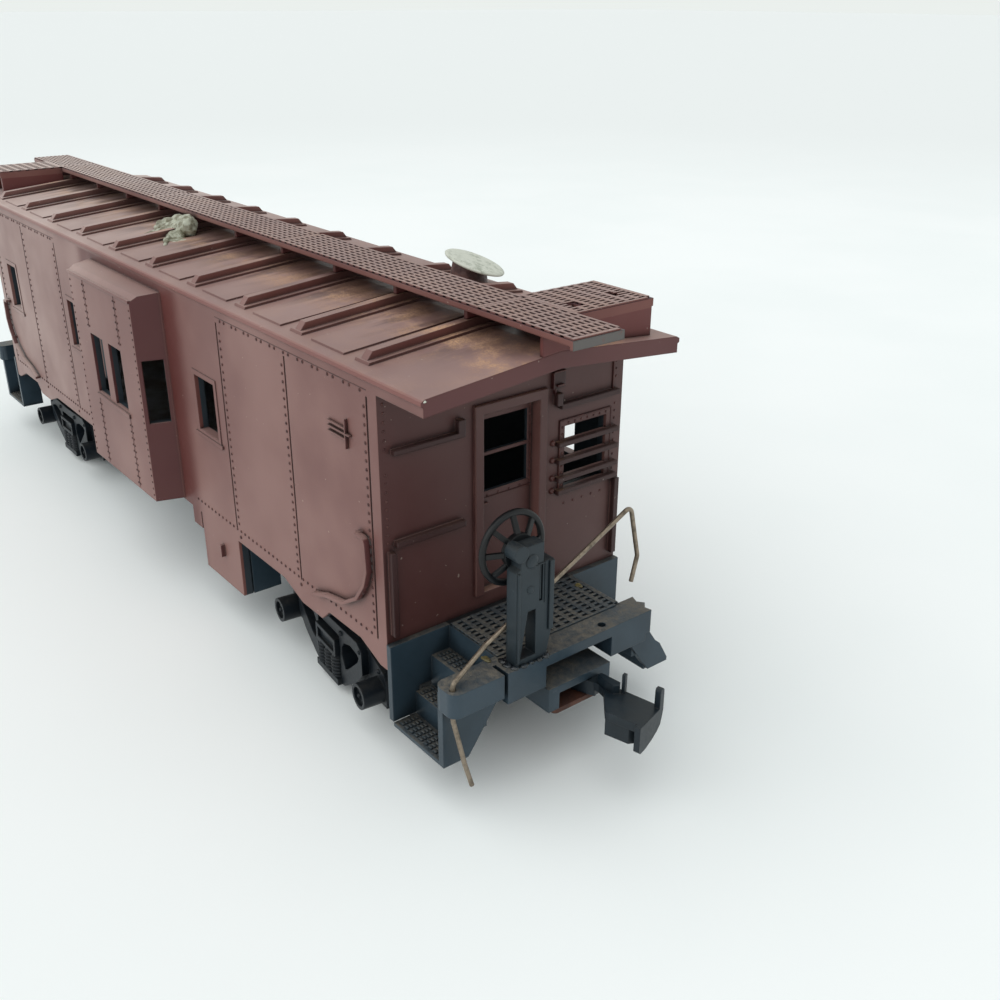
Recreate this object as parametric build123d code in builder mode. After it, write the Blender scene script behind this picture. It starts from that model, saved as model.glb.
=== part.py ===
# Bay-window caboose, HO scale display model, at its own model size (millimetres).
# Frame: X runs along the car towards the end with the bent railing, Y across,
# Z up, origin on the floor under the car's centre.
import os
from math import atan2, cos, degrees, radians, sin

from build123d import *

os.makedirs("parts", exist_ok=True)

# Body shell: planes of its walls and roof
HALF_L = 67.7          # end wall plane
HALF_W = 17.5          # side wall plane
WALL = 1.2
SILL = 13.0            # lowest tab of the side sill
SILL_UP = 14.65        # general lower edge of the side sill
WALL_TOP = 47.0
EAVE_TOP = 47.85
RIDGE = 49.4
ROOF_T = 1.9
ROOF_END = HALF_L + 8.4        # roof overhangs the platforms
EAVE_OUT = 0.25        # drip strip stands proud of the wall
CEILING_EAVE = 46.0
CEILING_RIDGE = 47.4

# Ribs and raised sheets of the roof
RIB_COUNT = 10
RIB_PITCH = (HALF_L - 4.7) / ((RIB_COUNT - 1) / 2)
RIB_TIP = 16.3
RIB_BASE_W = 2.7
RIB_BASE_H = 0.3
RIB_W = 1.2
RIB_H = 1.2
SHEET_W = RIB_PITCH - 7.1
SHEET_H = 0.2

# Bays
BAY_HALF = 12.1        # half length of the bay's face
BAY_ROOT = 13.3        # half length where the bay meets the wall
BAY_Y = 21.5
BAY_Z0 = 15.0
BAY_TOP = 44.7
BAY_ROOF_IN = 1.1      # the roof's edge lies back from the face
BAY_ROOF_H = 0.7
BAY_ROOF_RISE = 0.4
BAY_LIP = 0.2

# End platform planes and heights
PLATE_T = 0.8
PLATE_X = HALF_L + PLATE_T     # outer face of the end bulkhead plate
DECK_TOP = 16.5
DECK_HALF = 9.5
DECK_EDGE = PLATE_X + 8.5
BEAM_X = DECK_EDGE + 3.6
BEAM_MID_X = (DECK_EDGE + BEAM_X) / 2
BEAM_TOP = DECK_TOP
BEAM_BOTTOM = 13.5
BEAM_T = 1.3
BEAM_HALF = 17.8
STEP_X = DECK_EDGE + 1.2       # outer face of the step hangers
STEP_Z = 5.8           # underside of the lowest step
HANGER_T = 0.9

# Trucks
TRUCK_X = HALF_L - 17.9
AXLE_HALF = 12.2
AXLE_Z = 5.4
FLANGE_R = 5.4
TREAD_R = 4.8
BACK_HALF = 7.2
FLANGE_T = 0.7
TREAD_END = 10.0
AXLE_R = 1.1
STUB_R = 0.78
STUB_HOLE_R = 0.85
STUB_END = 12.9
FRAME_IN = 12.0
FRAME_OUT = 13.4
CAP_R = 1.7
CAP_OUT = 16.3
NEAR_TURN = -5.6       # the near truck stands turned by this angle (degrees)
SCREW_R = 1.2
SCREW_HOLE_R = 1.3

# Coupler pockets
PIVOT_X = PLATE_X + 6.0
BOX_BACK = PLATE_X + 1.5
BOX_FRONT = BEAM_X + 0.2
BOX_HALF = 4.7
BOX_SIDE = 1.6
BOX_TOP = 12.0
BOX_BOTTOM = 8.9


def roof_z(y):
    """Height of the roof surface at distance y from the centre line."""
    return RIDGE - (RIDGE - EAVE_TOP) * abs(y) / HALF_W


# Side windows: x centre, width, z bottom, z top, side of the car
INNER_WINDOW_X = BAY_ROOT + 11.7
OUTER_WINDOW_X = HALF_L - 9.3
SIDE_WINDOWS = (
    (INNER_WINDOW_X, 5.8, 28.6, 36.4, -1),
    (-INNER_WINDOW_X, 5.8, 28.6, 36.4, -1),
    (-OUTER_WINDOW_X, 4.8, 28.6, 36.6, -1),
    (INNER_WINDOW_X, 5.8, 28.6, 36.4, 1),
    (-INNER_WINDOW_X, 5.8, 28.6, 36.4, 1),
    (OUTER_WINDOW_X, 4.8, 28.6, 36.6, 1),
)
WINDOW_RIM_W = 0.7
WINDOW_RIM_H = 0.12
WINDOW_SILL_H = 0.25
# Bay windows: x centre, width; the pair shares one height range
BAY_WINDOWS = ((3.55, 4.8), (-3.55, 4.8))
BAY_WIN_Z0 = 27.2
BAY_WIN_Z1 = 36.4
BAY_SIDE_WIN_W = 3.0
BAY_SIDE_WIN_Z0 = 27.0
BAY_SIDE_WIN_Z1 = 36.3
# Panel joints in the side walls
JOINT_W = 0.3
JOINT_X = (HALF_L - 1.9, HALF_L - 19.4, BAY_ROOT + 17.3)
# Lower edge of the side sill: distance from the end wall, height
SILL_PROFILE = (
    (24.2, SILL_UP),
    (19.6, SILL),
    (14.7, SILL),
    (12.9, SILL_UP),
    (5.7, SILL_UP),
    (1.6, SILL),
    (0.0, SILL),
    (0.0, SILL_UP + 1),
    (24.2, SILL_UP + 1),
)

# Equipment box skirts under the side walls
EQUIP_X = TRUCK_X / 2 - 0.25
EQUIP_L = 11.7
EQUIP_H = 9.0
EQUIP_Z = 10.5
EQUIP_T = 1.4

# End wall: door, window, ladder rungs and grab irons
DOOR_HALF = 4.1
DOOR_Z0 = 18.4
DOOR_Z1 = 41.0
DOOR_FRAME = 1.1
DOOR_PROUD = 0.5
DOOR_DEEP = 1.1
PANE_Y = 0.3
PANE_W = 6.4
PANES = ((30.8, 35.3), (35.7, 39.7))   # z bottom, z top
END_WINDOW_Y = 11.55
END_WINDOW_W = 6.7
END_WINDOW_Z = 32.65
END_WINDOW_H = 8.1
END_RIM_W = 0.7
END_RIM_H = 0.15
RUNG_Z = (34.75, 32.55, 30.25, 28.6)
RUNG_W = 9.6
RUNG_Y = 11.6
RUNG_OUT = 0.9
RUNG_T = 0.55
# Grab irons on the end wall: y, z, length along y, length along z (for the near end)
GRAB_IRONS = (
    (-11.5, 39.5, 9.2, 0.6),
    (-11.5, 28.8, 9.2, 0.7),
    (11.75, 39.5, 9.3, 0.6),
    (-16.6, 22.8, 0.7, 10.4),
    (16.6, 22.8, 0.7, 10.4),
    (-7.3, 40.4, 0.9, 1.6),
    (6.8, 40.45, 0.8, 1.5),
)
GRAB_OUT = 0.85
NUMBER_BOX = (7.0, 42.7, 1.8, 1.9)     # y, z, width, height
NUMBER_BOX_OUT = 0.35

# What stands proud of the shell's plain walls, built as one group
with BuildPart() as shell_trim:
    for x, width, z0, z1, side in SIDE_WINDOWS:
        with Locations((x, side * HALF_W, (z0 + z1) / 2)):
            Box(width + 2 * WINDOW_RIM_W, 2 * WINDOW_RIM_H, z1 - z0 + 2 * WINDOW_RIM_W)
        with Locations((x, side * HALF_W, z0 - WINDOW_RIM_W)):
            Box(width + 2.4, 2 * WINDOW_SILL_H, 0.5)
    for side in (-1, 1):
        # sill under the bay's pair of windows, lip of the bay's roof
        with Locations((0, side * BAY_Y, BAY_WIN_Z0 - 0.6)):
            Box(13.0, 2 * WINDOW_SILL_H, 0.6)
        with Locations((0, side * BAY_Y, BAY_TOP)):
            Box(2 * BAY_HALF, 2 * BAY_LIP, 0.4)
        # equipment box, a lug beside it and its handle
        with Locations((-side * EQUIP_X, side * (HALF_W - EQUIP_T / 2), EQUIP_Z)):
            Box(EQUIP_L, EQUIP_T, EQUIP_H)
        with Locations((-side * (EQUIP_X - 7.55), side * (HALF_W - WALL / 2), 13.4)):
            Box(2.8, WALL, 2.9)
        with Locations((-side * (EQUIP_X + 0.75), side * (HALF_W + 0.2), 11.2)):
            Box(0.5, 0.8, 1.8)
    for end in (-1, 1):
        with Locations((end * (HALF_L - 0.6), 0, (DOOR_Z0 + DOOR_Z1 + DOOR_FRAME) / 2)):
            Box(1.2 + 2 * DOOR_PROUD, 2 * (DOOR_HALF + DOOR_FRAME), DOOR_Z1 - DOOR_Z0 + DOOR_FRAME)
        with Locations((end * HALF_L, end * END_WINDOW_Y, END_WINDOW_Z)):
            Box(2 * END_RIM_H, END_WINDOW_W + 2 * END_RIM_W, END_WINDOW_H + 2 * END_RIM_W)
        for y, z, along_y, along_z in GRAB_IRONS:
            with Locations((end * (HALF_L + GRAB_OUT / 2 - 0.05), end * y, z)):
                Box(GRAB_OUT + 0.1, along_y, along_z)
        box_y, box_z, box_w, box_h = NUMBER_BOX
        with Locations((end * HALF_L, end * box_y, box_z)):
            Box(2 * NUMBER_BOX_OUT, box_w, box_h)

# Windows, door openings and the panel joints, cut in one go
with BuildPart() as shell_cuts:
    for x, width, z0, z1, side in SIDE_WINDOWS:
        with Locations((x, side * HALF_W, (z0 + z1) / 2)):
            Box(width, 5, z1 - z0)
    for side in (-1, 1):
        for x, width in BAY_WINDOWS:
            with Locations((x, side * BAY_Y, (BAY_WIN_Z0 + BAY_WIN_Z1) / 2)):
                Box(width, 3.4, BAY_WIN_Z1 - BAY_WIN_Z0)
        for end in (-1, 1):
            mid = (end * (BAY_HALF + BAY_ROOT) / 2, side * (BAY_Y + HALF_W) / 2, (BAY_SIDE_WIN_Z0 + BAY_SIDE_WIN_Z1) / 2)
            turn = degrees(atan2(side * (HALF_W - BAY_Y), end * (BAY_ROOT - BAY_HALF)))
            with Locations(Location(mid, (0, 0, turn))):
                Box(BAY_SIDE_WIN_W, 4.4, BAY_SIDE_WIN_Z1 - BAY_SIDE_WIN_Z0)
        with Locations(*[(end * x, side * HALF_W, (SILL_UP + WALL_TOP) / 2) for x in JOINT_X for end in (-1, 1)]):
            Box(JOINT_W, 0.4, 29.0)
    for end in (-1, 1):
        with Locations((end * (HALF_L - DOOR_DEEP + 1.3), 0, (DOOR_Z0 + DOOR_Z1) / 2)):
            Box(2.6, 2 * DOOR_HALF, DOOR_Z1 - DOOR_Z0)
        for z0, z1 in PANES:
            with Locations((end * HALF_L, end * PANE_Y, (z0 + z1) / 2)):
                Box(8, PANE_W, z1 - z0)
        with Locations((end * HALF_L, end * END_WINDOW_Y, END_WINDOW_Z)):
            Box(6, END_WINDOW_W, END_WINDOW_H)
        with Locations((end * (HALF_L - WALL / 2), 0, SILL + 1.1)):
            Box(WALL + 2, 2 * (HALF_W - WALL), 3.4)

# Curved handrails beside the steps: distance from the end wall, height
HANDRAIL = (
    (4.4, 28.9),
    (2.6, 28.9),
    (2.4, 25.0),
    (3.1, 23.0),
    (4.9, 20.5),
    (8.2, 18.4),
    (12.2, 17.6),
    (15.4, 16.4),
)
HANDRAIL_FEET = ((4.3, 28.9), (4.0, 21.75), (15.0, 16.5))
HANDRAIL_W = 0.45
HANDRAIL_OUT = 0.55

with BuildPart() as handrails:
    for end in (-1, 1):
        for side in (-1, 1):
            with BuildSketch(Plane.XZ.offset(-side * (HALF_W + HANDRAIL_OUT))):
                with BuildLine():
                    FilletPolyline(*[(end * (HALF_L - x), z) for x, z in HANDRAIL], radius=0.7)
                trace(line_width=HANDRAIL_W)
            extrude(amount=0.35, both=True)
            for x, z in HANDRAIL_FEET:
                with Locations((end * (HALF_L - x), side * (HALF_W + 0.1), z)):
                    Box(0.7, 0.9, 0.5)

# Ribs and raised sheets of the roof
rib_planes = [Plane.YZ.offset((k - (RIB_COUNT - 1) / 2) * RIB_PITCH) for k in range(RIB_COUNT)]
sheet_planes = [Plane.YZ.offset((k - (RIB_COUNT - 2) / 2) * RIB_PITCH) for k in range(RIB_COUNT - 1)]


def roof_strip(y_end, height):
    """Outline in the YZ plane of a strip lying over both roof slopes."""
    return (
        (-y_end, roof_z(y_end) - 0.3),
        (0, RIDGE - 0.3),
        (y_end, roof_z(y_end) - 0.3),
        (y_end - height, roof_z(y_end) + height),
        (0, RIDGE + height),
        (-y_end + height, roof_z(y_end) + height),
    )


with BuildPart() as roof_ribs:
    for width, height, planes in (
        (RIB_BASE_W, RIB_BASE_H, rib_planes),
        (SHEET_W, SHEET_H, sheet_planes),
        (RIB_W, RIB_H, rib_planes),
    ):
        with BuildSketch(*planes):
            with BuildLine():
                Polyline(*roof_strip(RIB_TIP, height), close=True)
            make_face()
        extrude(amount=width / 2, both=True)

# Bays: the plan drawn up to the roof, then trimmed to the profile across the car
BAY_PLAN = (
    (-BAY_ROOT, HALF_W - 0.5),
    (-BAY_ROOT, HALF_W),
    (-BAY_HALF, BAY_Y),
    (BAY_HALF, BAY_Y),
    (BAY_ROOT, HALF_W),
    (BAY_ROOT, HALF_W - 0.5),
)
BAY_PROFILE = (
    (HALF_W - 0.6, BAY_Z0),
    (BAY_Y, BAY_Z0),
    (BAY_Y, BAY_TOP),
    (BAY_Y - BAY_ROOF_IN, BAY_TOP + BAY_ROOF_H),
    (HALF_W - 0.6, BAY_TOP + BAY_ROOF_H + BAY_ROOF_RISE),
)
BAY_ROOM = (
    (-BAY_ROOT + WALL, HALF_W - 2),
    (-BAY_ROOT + WALL, HALF_W),
    (-BAY_HALF + WALL, BAY_Y - WALL),
    (BAY_HALF - WALL, BAY_Y - WALL),
    (BAY_ROOT - WALL, HALF_W),
    (BAY_ROOT - WALL, HALF_W - 2),
)
with BuildPart() as bays:
    with BuildSketch(Plane.XY.offset(BAY_Z0)):
        for side in (-1, 1):
            with BuildLine():
                Polyline(*[(x, side * y) for x, y in BAY_PLAN], close=True)
            make_face()
    extrude(amount=WALL_TOP - BAY_Z0)
    with BuildSketch(Plane.YZ):
        for side in (-1, 1):
            with BuildLine():
                Polyline(*[(side * y, z) for y, z in BAY_PROFILE], close=True)
            make_face()
    extrude(amount=BAY_ROOT + 1, both=True, mode=Mode.INTERSECT)

with BuildPart() as body_shell:
    with BuildSketch(Plane.YZ):
        with BuildLine():
            Polyline(
                (-HALF_W, SILL_UP),
                (HALF_W, SILL_UP),
                (HALF_W, WALL_TOP),
                (0, RIDGE - ROOF_T + 0.6),
                (-HALF_W, WALL_TOP),
                close=True,
            )
        make_face()
    extrude(amount=HALF_L, both=True)
    with BuildSketch(Plane.YZ):
        with BuildLine():
            Polyline(
                (-HALF_W, EAVE_TOP - ROOF_T),
                (0, RIDGE - ROOF_T),
                (HALF_W, EAVE_TOP - ROOF_T),
                (HALF_W, WALL_TOP),
                (HALF_W + EAVE_OUT, WALL_TOP + 0.15),
                (HALF_W + EAVE_OUT, EAVE_TOP - 0.25),
                (HALF_W - 0.2, EAVE_TOP),
                (0, RIDGE),
                (-HALF_W + 0.2, EAVE_TOP),
                (-HALF_W - EAVE_OUT, EAVE_TOP - 0.25),
                (-HALF_W - EAVE_OUT, WALL_TOP + 0.15),
                (-HALF_W, WALL_TOP),
                close=True,
            )
        make_face()
    extrude(amount=ROOF_END, both=True)
    # tabs of the sill
    with BuildSketch(Plane.XZ):
        for end in (-1, 1):
            with BuildLine():
                Polyline(*[(end * (HALF_L - x), z) for x, z in SILL_PROFILE], close=True)
            make_face()
    extrude(amount=HALF_W, both=True)
    add(bays.part)
    # cabin and the room in the bays
    with BuildSketch(Plane.YZ):
        with BuildLine():
            Polyline(
                (-HALF_W + WALL, SILL - 1),
                (HALF_W - WALL, SILL - 1),
                (HALF_W - WALL, CEILING_EAVE),
                (0, CEILING_RIDGE),
                (-HALF_W + WALL, CEILING_EAVE),
                close=True,
            )
        make_face()
    extrude(amount=HALF_L - WALL, both=True, mode=Mode.SUBTRACT)
    with BuildSketch(Plane.XY.offset(BAY_Z0 + WALL)):
        for side in (-1, 1):
            with BuildLine():
                Polyline(*[(x, side * y) for x, y in BAY_ROOM], close=True)
            make_face()
    extrude(amount=BAY_TOP - BAY_Z0 - 2 * WALL, mode=Mode.SUBTRACT)
    add(shell_trim.part)
    add(shell_cuts.part, mode=Mode.SUBTRACT)
    add(handrails.part)
    add(roof_ribs.part)
    # ladder rungs across the window beside the door
    for end in (-1, 1):
        with Locations(*[(end * (HALF_L + RUNG_OUT / 2 - 0.1), end * RUNG_Y, z) for z in RUNG_Z]):
            Box(RUNG_OUT + 0.2, RUNG_W, RUNG_T)
body_shell.part.label = "body_shell"
export_step(body_shell.part, "parts/body_shell.step")

# Roof walk with its lateral boards
WALK_TOP = 52.3
WALK_T = 0.65
WALK_HALF = 3.45
WALK_END = ROOF_END + 5.45
WALK_LIP_T = 0.5       # thickened end of the walk
WALK_LIP_H = 1.0
SADDLE_W = 0.6         # saddles carry the walk on the ribs
SADDLE_HALF = 2.6
BOARD_X0 = HALF_L - 2.8        # lateral board beside the walk
BOARD_X1 = HALF_L + 6.7
BOARD_Y1 = 14.7
BOARD_T = 0.9
SKIRT_T = 0.8
# Broken holes in the near lateral board: distance from the board's inner edge, y, length, width
BOARD_HOLES = ((6.6, 5.2, 1.5, 1.9), (5.9, 12.3, 1.5, 1.8))

with BuildPart() as roof_walk:
    with Locations((0, 0, WALK_TOP - WALK_T / 2)):
        Box(2 * WALK_END, 2 * WALK_HALF, WALK_T)
    with BuildSketch(*rib_planes):
        with BuildLine():
            Polyline(
                (-SADDLE_HALF, WALK_TOP - WALK_T + 0.1),
                (-SADDLE_HALF, roof_z(SADDLE_HALF) + RIB_H),
                (0, RIDGE + RIB_H),
                (SADDLE_HALF, roof_z(SADDLE_HALF) + RIB_H),
                (SADDLE_HALF, WALK_TOP - WALK_T + 0.1),
                close=True,
            )
        make_face()
    extrude(amount=SADDLE_W / 2, both=True)
    for end in (-1, 1):
        with Locations((end * (WALK_END - WALK_LIP_T / 2), 0, WALK_TOP - WALK_LIP_H / 2)):
            Box(WALK_LIP_T, 2 * WALK_HALF, WALK_LIP_H)
        # gable plate under the walk, flush with the end of the roof
        with BuildSketch(Plane.YZ.offset(end * (ROOF_END - 0.25))):
            with BuildLine():
                Polyline(
                    (-SADDLE_HALF, WALK_TOP - WALK_T + 0.1),
                    (-SADDLE_HALF, roof_z(SADDLE_HALF)),
                    (0, RIDGE),
                    (SADDLE_HALF, roof_z(SADDLE_HALF)),
                    (SADDLE_HALF, WALK_TOP - WALK_T + 0.1),
                    close=True,
                )
            make_face()
        extrude(amount=0.25, both=True)
        # lateral board
        mid_x = end * (BOARD_X0 + BOARD_X1) / 2
        mid_y = end * (WALK_HALF + BOARD_Y1) / 2
        with Locations((mid_x, mid_y, WALK_TOP - BOARD_T / 2)):
            Box(BOARD_X1 - BOARD_X0, BOARD_Y1 - WALK_HALF + 0.4, BOARD_T)
        # skirts under its two long edges, shaped to the roof slope
        for x in (BOARD_X1 - SKIRT_T / 2, BOARD_X0 + SKIRT_T / 2):
            with BuildSketch(Plane.YZ.offset(end * x)):
                with BuildLine():
                    Polyline(
                        (end * WALK_HALF, WALK_TOP - BOARD_T + 0.1),
                        (end * WALK_HALF, roof_z(WALK_HALF)),
                        (end * BOARD_Y1, roof_z(BOARD_Y1)),
                        (end * BOARD_Y1, WALK_TOP - BOARD_T + 0.1),
                        close=True,
                    )
                make_face()
            extrude(amount=SKIRT_T / 2, both=True)
    for x, y, length, width in BOARD_HOLES:
        with Locations((BOARD_X0 + x, y, WALK_TOP)):
            Box(length, width, 2.6, mode=Mode.SUBTRACT)
roof_walk.part.label = "roof_walk"
export_step(roof_walk.part, "parts/roof_walk.step")

# Hardened glue on the roof: a bead against the walk, a tongue along a rib, a thin spread
GLUE_X = -RIB_PITCH / 2
GLUE_BEAD_R = 1.9
GLUE_BEAD = (GLUE_X + 0.7, -4.5, 49.8)
# Spreads on the roof slope: x from the rib, y, half length along x, half length along y, height, taper
GLUE_SPREADS = (
    (0.2, -7.2, 1.9, 3.2, 1.8, 25),
    (-3.6, -6.8, 3.4, 2.6, 0.7, 35),
)
SLOPE = (RIDGE - EAVE_TOP) / HALF_W

with BuildPart() as glue_blob:
    with Locations(GLUE_BEAD):
        Sphere(GLUE_BEAD_R)
    for x, y, half_x, half_y, height, taper in GLUE_SPREADS:
        with BuildSketch(Plane(origin=(GLUE_X + x, y, roof_z(y)), x_dir=(1, 0, 0), z_dir=(0, -SLOPE, 1))):
            Ellipse(half_x, half_y)
        extrude(amount=height, taper=taper)
    # nothing of it lies under the roof's surface
    with BuildSketch(Plane.YZ.offset(GLUE_X)):
        with BuildLine():
            Polyline((0, RIDGE), (-HALF_W, EAVE_TOP), (-HALF_W, WALL_TOP - 3), (0, WALL_TOP - 3), close=True)
        make_face()
    extrude(amount=RIB_PITCH, both=True, mode=Mode.SUBTRACT)
    add(roof_ribs.part, mode=Mode.SUBTRACT)
glue_blob.part.label = "glue_blob"
export_step(glue_blob.part, "parts/glue_blob.step")

# A loose white disc stuck to the roof at a slant, on its pad of glue
DISC_X = 44.25
DISC_Y = 12.85
DISC_Z = 50.95
DISC_R = 4.05
DISC_T = 0.5
DISC_TILT = (0.24, 0.24, 0.94)

with BuildPart() as roof_disc:
    with BuildSketch(Plane(origin=(DISC_X, DISC_Y, DISC_Z), z_dir=DISC_TILT)):
        Circle(DISC_R)
    extrude(amount=DISC_T)
roof_disc.part.label = "roof_disc"
export_step(roof_disc.part, "parts/roof_disc.step")

with BuildPart() as disc_glue:
    with BuildSketch(Plane(origin=(DISC_X - 0.8, DISC_Y - 0.4, roof_z(DISC_Y - 0.4)), z_dir=(0, SLOPE, 1))):
        Circle(2.6)
    extrude(amount=4, taper=8)
    with BuildSketch(Plane(origin=(DISC_X, DISC_Y, DISC_Z), z_dir=DISC_TILT)):
        Circle(7)
    extrude(amount=5, mode=Mode.SUBTRACT)
    add(roof_ribs.part, mode=Mode.SUBTRACT)
disc_glue.part.label = "disc_glue"
export_step(disc_glue.part, "parts/disc_glue.step")

# Underframe
FLOOR_Z0 = 13.6
FLOOR_Z1 = 15.0
FLOOR_HALF = 16.0
PLATE_Z0 = 6.5
ARCH_HALF = 13.9       # the plate is open below this half width for the wheels
ARCH_TOP = 10.0
SILL_HALF = 3.0        # centre sill
SILL_BOTTOM = 10.0
BOSS_R = 4.0
BOSS_Z0 = 11.2
SLOT_Y = 10.7          # slot between the beam's block and its outer arm
SLOT_W = 0.5
BLOCK_IN = 5.0
BLOCK_BOTTOM = 12.5
BEAM_ROUND = 1.2
HOLE_X = BEAM_X - 1.2  # railing holes
HOLE_OUT_Y = 17.0
HOLE_IN_Y = 4.4
HOLE_R = 0.35
EMPTY_HOLE_R = 0.5     # the hole the bent railing has worn and left
WEIGHT_L = 100.0
WEIGHT_W = 26.0
WEIGHT_T = 2.5

# Stairs for positive y: riser planes and tread heights, from the deck down
STAIR_T = 0.8
STAIR_Y = (9.5, 12.1, 14.4)
STAIR_Z = (DECK_TOP - 0.4, 13.4, 9.35, 6.3)
STAIR = (
    (STAIR_Y[0], STAIR_Z[0]),
    (STAIR_Y[0], STAIR_Z[1]),
    (STAIR_Y[1], STAIR_Z[1]),
    (STAIR_Y[1], STAIR_Z[2]),
    (STAIR_Y[2], STAIR_Z[2]),
    (STAIR_Y[2], STAIR_Z[3]),
    (HALF_W, STAIR_Z[3]),
    (HALF_W, STEP_Z),
    (STAIR_Y[2] - STAIR_T, STEP_Z),
    (STAIR_Y[2] - STAIR_T, STAIR_Z[2] - STAIR_T),
    (STAIR_Y[1] - STAIR_T, STAIR_Z[2] - STAIR_T),
    (STAIR_Y[1] - STAIR_T, STAIR_Z[1] - STAIR_T),
    (STAIR_Y[0] - STAIR_T, STAIR_Z[1] - STAIR_T),
    (STAIR_Y[0] - STAIR_T, STAIR_Z[0]),
)
# Outline of a step hanger in the YZ plane, for positive y
HANGER_TOP = 15.4
HANGER_FOOT = (
    (8.6, HANGER_TOP),
    (9.0, 13.4),
    (10.0, 11.6),
    (11.6, 9.3),
    (13.0, 7.3),
    (14.1, STEP_Z),
    (HALF_W, STEP_Z),
)
HANGER = HANGER_FOOT + ((HALF_W, HANGER_TOP),)
# The near right hanger has lost its upper outer corner
HANGER_BROKEN = HANGER_FOOT + ((HALF_W, 6.3), (16.0, 8.9), (15.1, 9.7), (13.2, 12.5), (11.6, HANGER_TOP))
# Edge of the break at the near right end of the beam: distance from the deck's edge, y
BEAM_BREAK = ((-0.2, 11.9), (1.1, 11.4), (1.9, 12.0), (2.7, 11.2), (4.5, 11.6), (4.5, 18.5), (-0.2, 18.5))

with BuildPart() as underframe:
    with Locations((0, 0, (FLOOR_Z0 + FLOOR_Z1) / 2)):
        Box(2 * HALF_L + 0.4, 2 * FLOOR_HALF, FLOOR_Z1 - FLOOR_Z0)
    # end bulkhead plates, open for the wheels
    with Locations(*[(end * (HALF_L + PLATE_X) / 2, 0, (PLATE_Z0 + DECK_TOP) / 2) for end in (-1, 1)]):
        Box(PLATE_T, 2 * HALF_W + 0.2, DECK_TOP - PLATE_Z0)
    with Locations(*[(end * (HALF_L + PLATE_X) / 2, 0, (PLATE_Z0 + ARCH_TOP) / 2 - 0.5) for end in (-1, 1)]):
        Box(PLATE_T + 1, 2 * ARCH_HALF, ARCH_TOP - PLATE_Z0 + 1, mode=Mode.SUBTRACT)
    # centre sill and bolster bosses
    with Locations((0, 0, (SILL_BOTTOM + FLOOR_Z0) / 2 + 0.1)):
        Box(2 * (TRUCK_X - 8), 2 * SILL_HALF, FLOOR_Z0 - SILL_BOTTOM + 0.2)
    with Locations(*[(end * TRUCK_X, 0, (BOSS_Z0 + FLOOR_Z0) / 2 + 0.1) for end in (-1, 1)]):
        Cylinder(BOSS_R, FLOOR_Z0 - BOSS_Z0 + 0.2)
    # equipment boxes behind the side skirts
    with Locations(*[(-side * EQUIP_X, side * 13.9, 9.9) for side in (-1, 1)]):
        Box(EQUIP_L + 0.3, 4.2, 7.8)
    for end in (-1, 1):
        # deck and end beam
        with Locations((end * (PLATE_X + DECK_EDGE) / 2, 0, DECK_TOP - BEAM_T / 2)):
            Box(DECK_EDGE - PLATE_X + 0.4, 2 * DECK_HALF, BEAM_T)
        with BuildSketch(Plane.XY.offset(BEAM_TOP - BEAM_T)):
            with Locations((end * BEAM_MID_X, 0)):
                RectangleRounded(BEAM_X - DECK_EDGE, 2 * BEAM_HALF, BEAM_ROUND)
        extrude(amount=BEAM_T)
        with BuildSketch(Plane.XY.offset(BEAM_BOTTOM)):
            with Locations((end * BEAM_MID_X, 0)):
                RectangleRounded(BEAM_X - DECK_EDGE, 2 * BEAM_HALF, BEAM_ROUND)
                Rectangle(BEAM_X - DECK_EDGE + 1, 2 * BLOCK_IN, mode=Mode.SUBTRACT)
        extrude(amount=BEAM_TOP - BEAM_BOTTOM - 0.2)
        block_y = (BLOCK_IN + SLOT_Y) / 2
        block_z = (BLOCK_BOTTOM + BEAM_BOTTOM) / 2 + 0.2
        with Locations(*[(end * BEAM_MID_X, s * block_y, block_z) for s in (-1, 1)]):
            Box(BEAM_X - DECK_EDGE, SLOT_Y - BLOCK_IN, BEAM_BOTTOM - BLOCK_BOTTOM + 0.4)
        # stairs, one solid flight a side, and the step hangers
        for s in (-1, 1):
            with BuildSketch(Plane.YZ.offset(end * (PLATE_X - 0.1))):
                with BuildLine():
                    Polyline(*[(s * y, z) for y, z in STAIR], close=True)
                make_face()
            extrude(amount=end * (STEP_X - PLATE_X - 0.2))
            outline = HANGER_BROKEN if (end, s) == (1, 1) else HANGER
            with BuildSketch(Plane.YZ.offset(end * (STEP_X - HANGER_T / 2))):
                with BuildLine():
                    Polyline(*[(s * y, z) for y, z in outline], close=True)
                make_face()
            extrude(amount=HANGER_T / 2, both=True)
        # coupler pocket: roof, two sides, back wall and pivot post
        pocket_x = end * (BOX_BACK + BOX_FRONT) / 2
        pocket_z = (BOX_TOP + BOX_BOTTOM) / 2
        with Locations((pocket_x, 0, BOX_TOP - 0.5)):
            Box(BOX_FRONT - BOX_BACK, 2 * BOX_HALF, 1.0)
        with Locations(*[(pocket_x, s * (BOX_HALF - BOX_SIDE / 2), pocket_z) for s in (-1, 1)]):
            Box(BOX_FRONT - BOX_BACK, BOX_SIDE, BOX_TOP - BOX_BOTTOM)
        with Locations((end * (BOX_BACK + 0.5), 0, pocket_z)):
            Box(1.0, 2 * BOX_HALF, BOX_TOP - BOX_BOTTOM)
        with Locations((end * PIVOT_X, 0, pocket_z)):
            Cylinder(1.2, BOX_TOP - BOX_BOTTOM)
        # webs that tie the pocket to the bulkhead plate and the deck
        with Locations((end * (PLATE_X + BOX_BACK + 0.2) / 2, 0, 11.6)):
            Box(BOX_BACK - PLATE_X + 0.6, 2 * BOX_HALF, 3.8)
        with Locations((end * PIVOT_X, 0, (BOX_TOP + DECK_TOP) / 2 - 0.6)):
            Box(5.0, 2 * BOX_HALF - 1.4, DECK_TOP - BOX_TOP)
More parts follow.
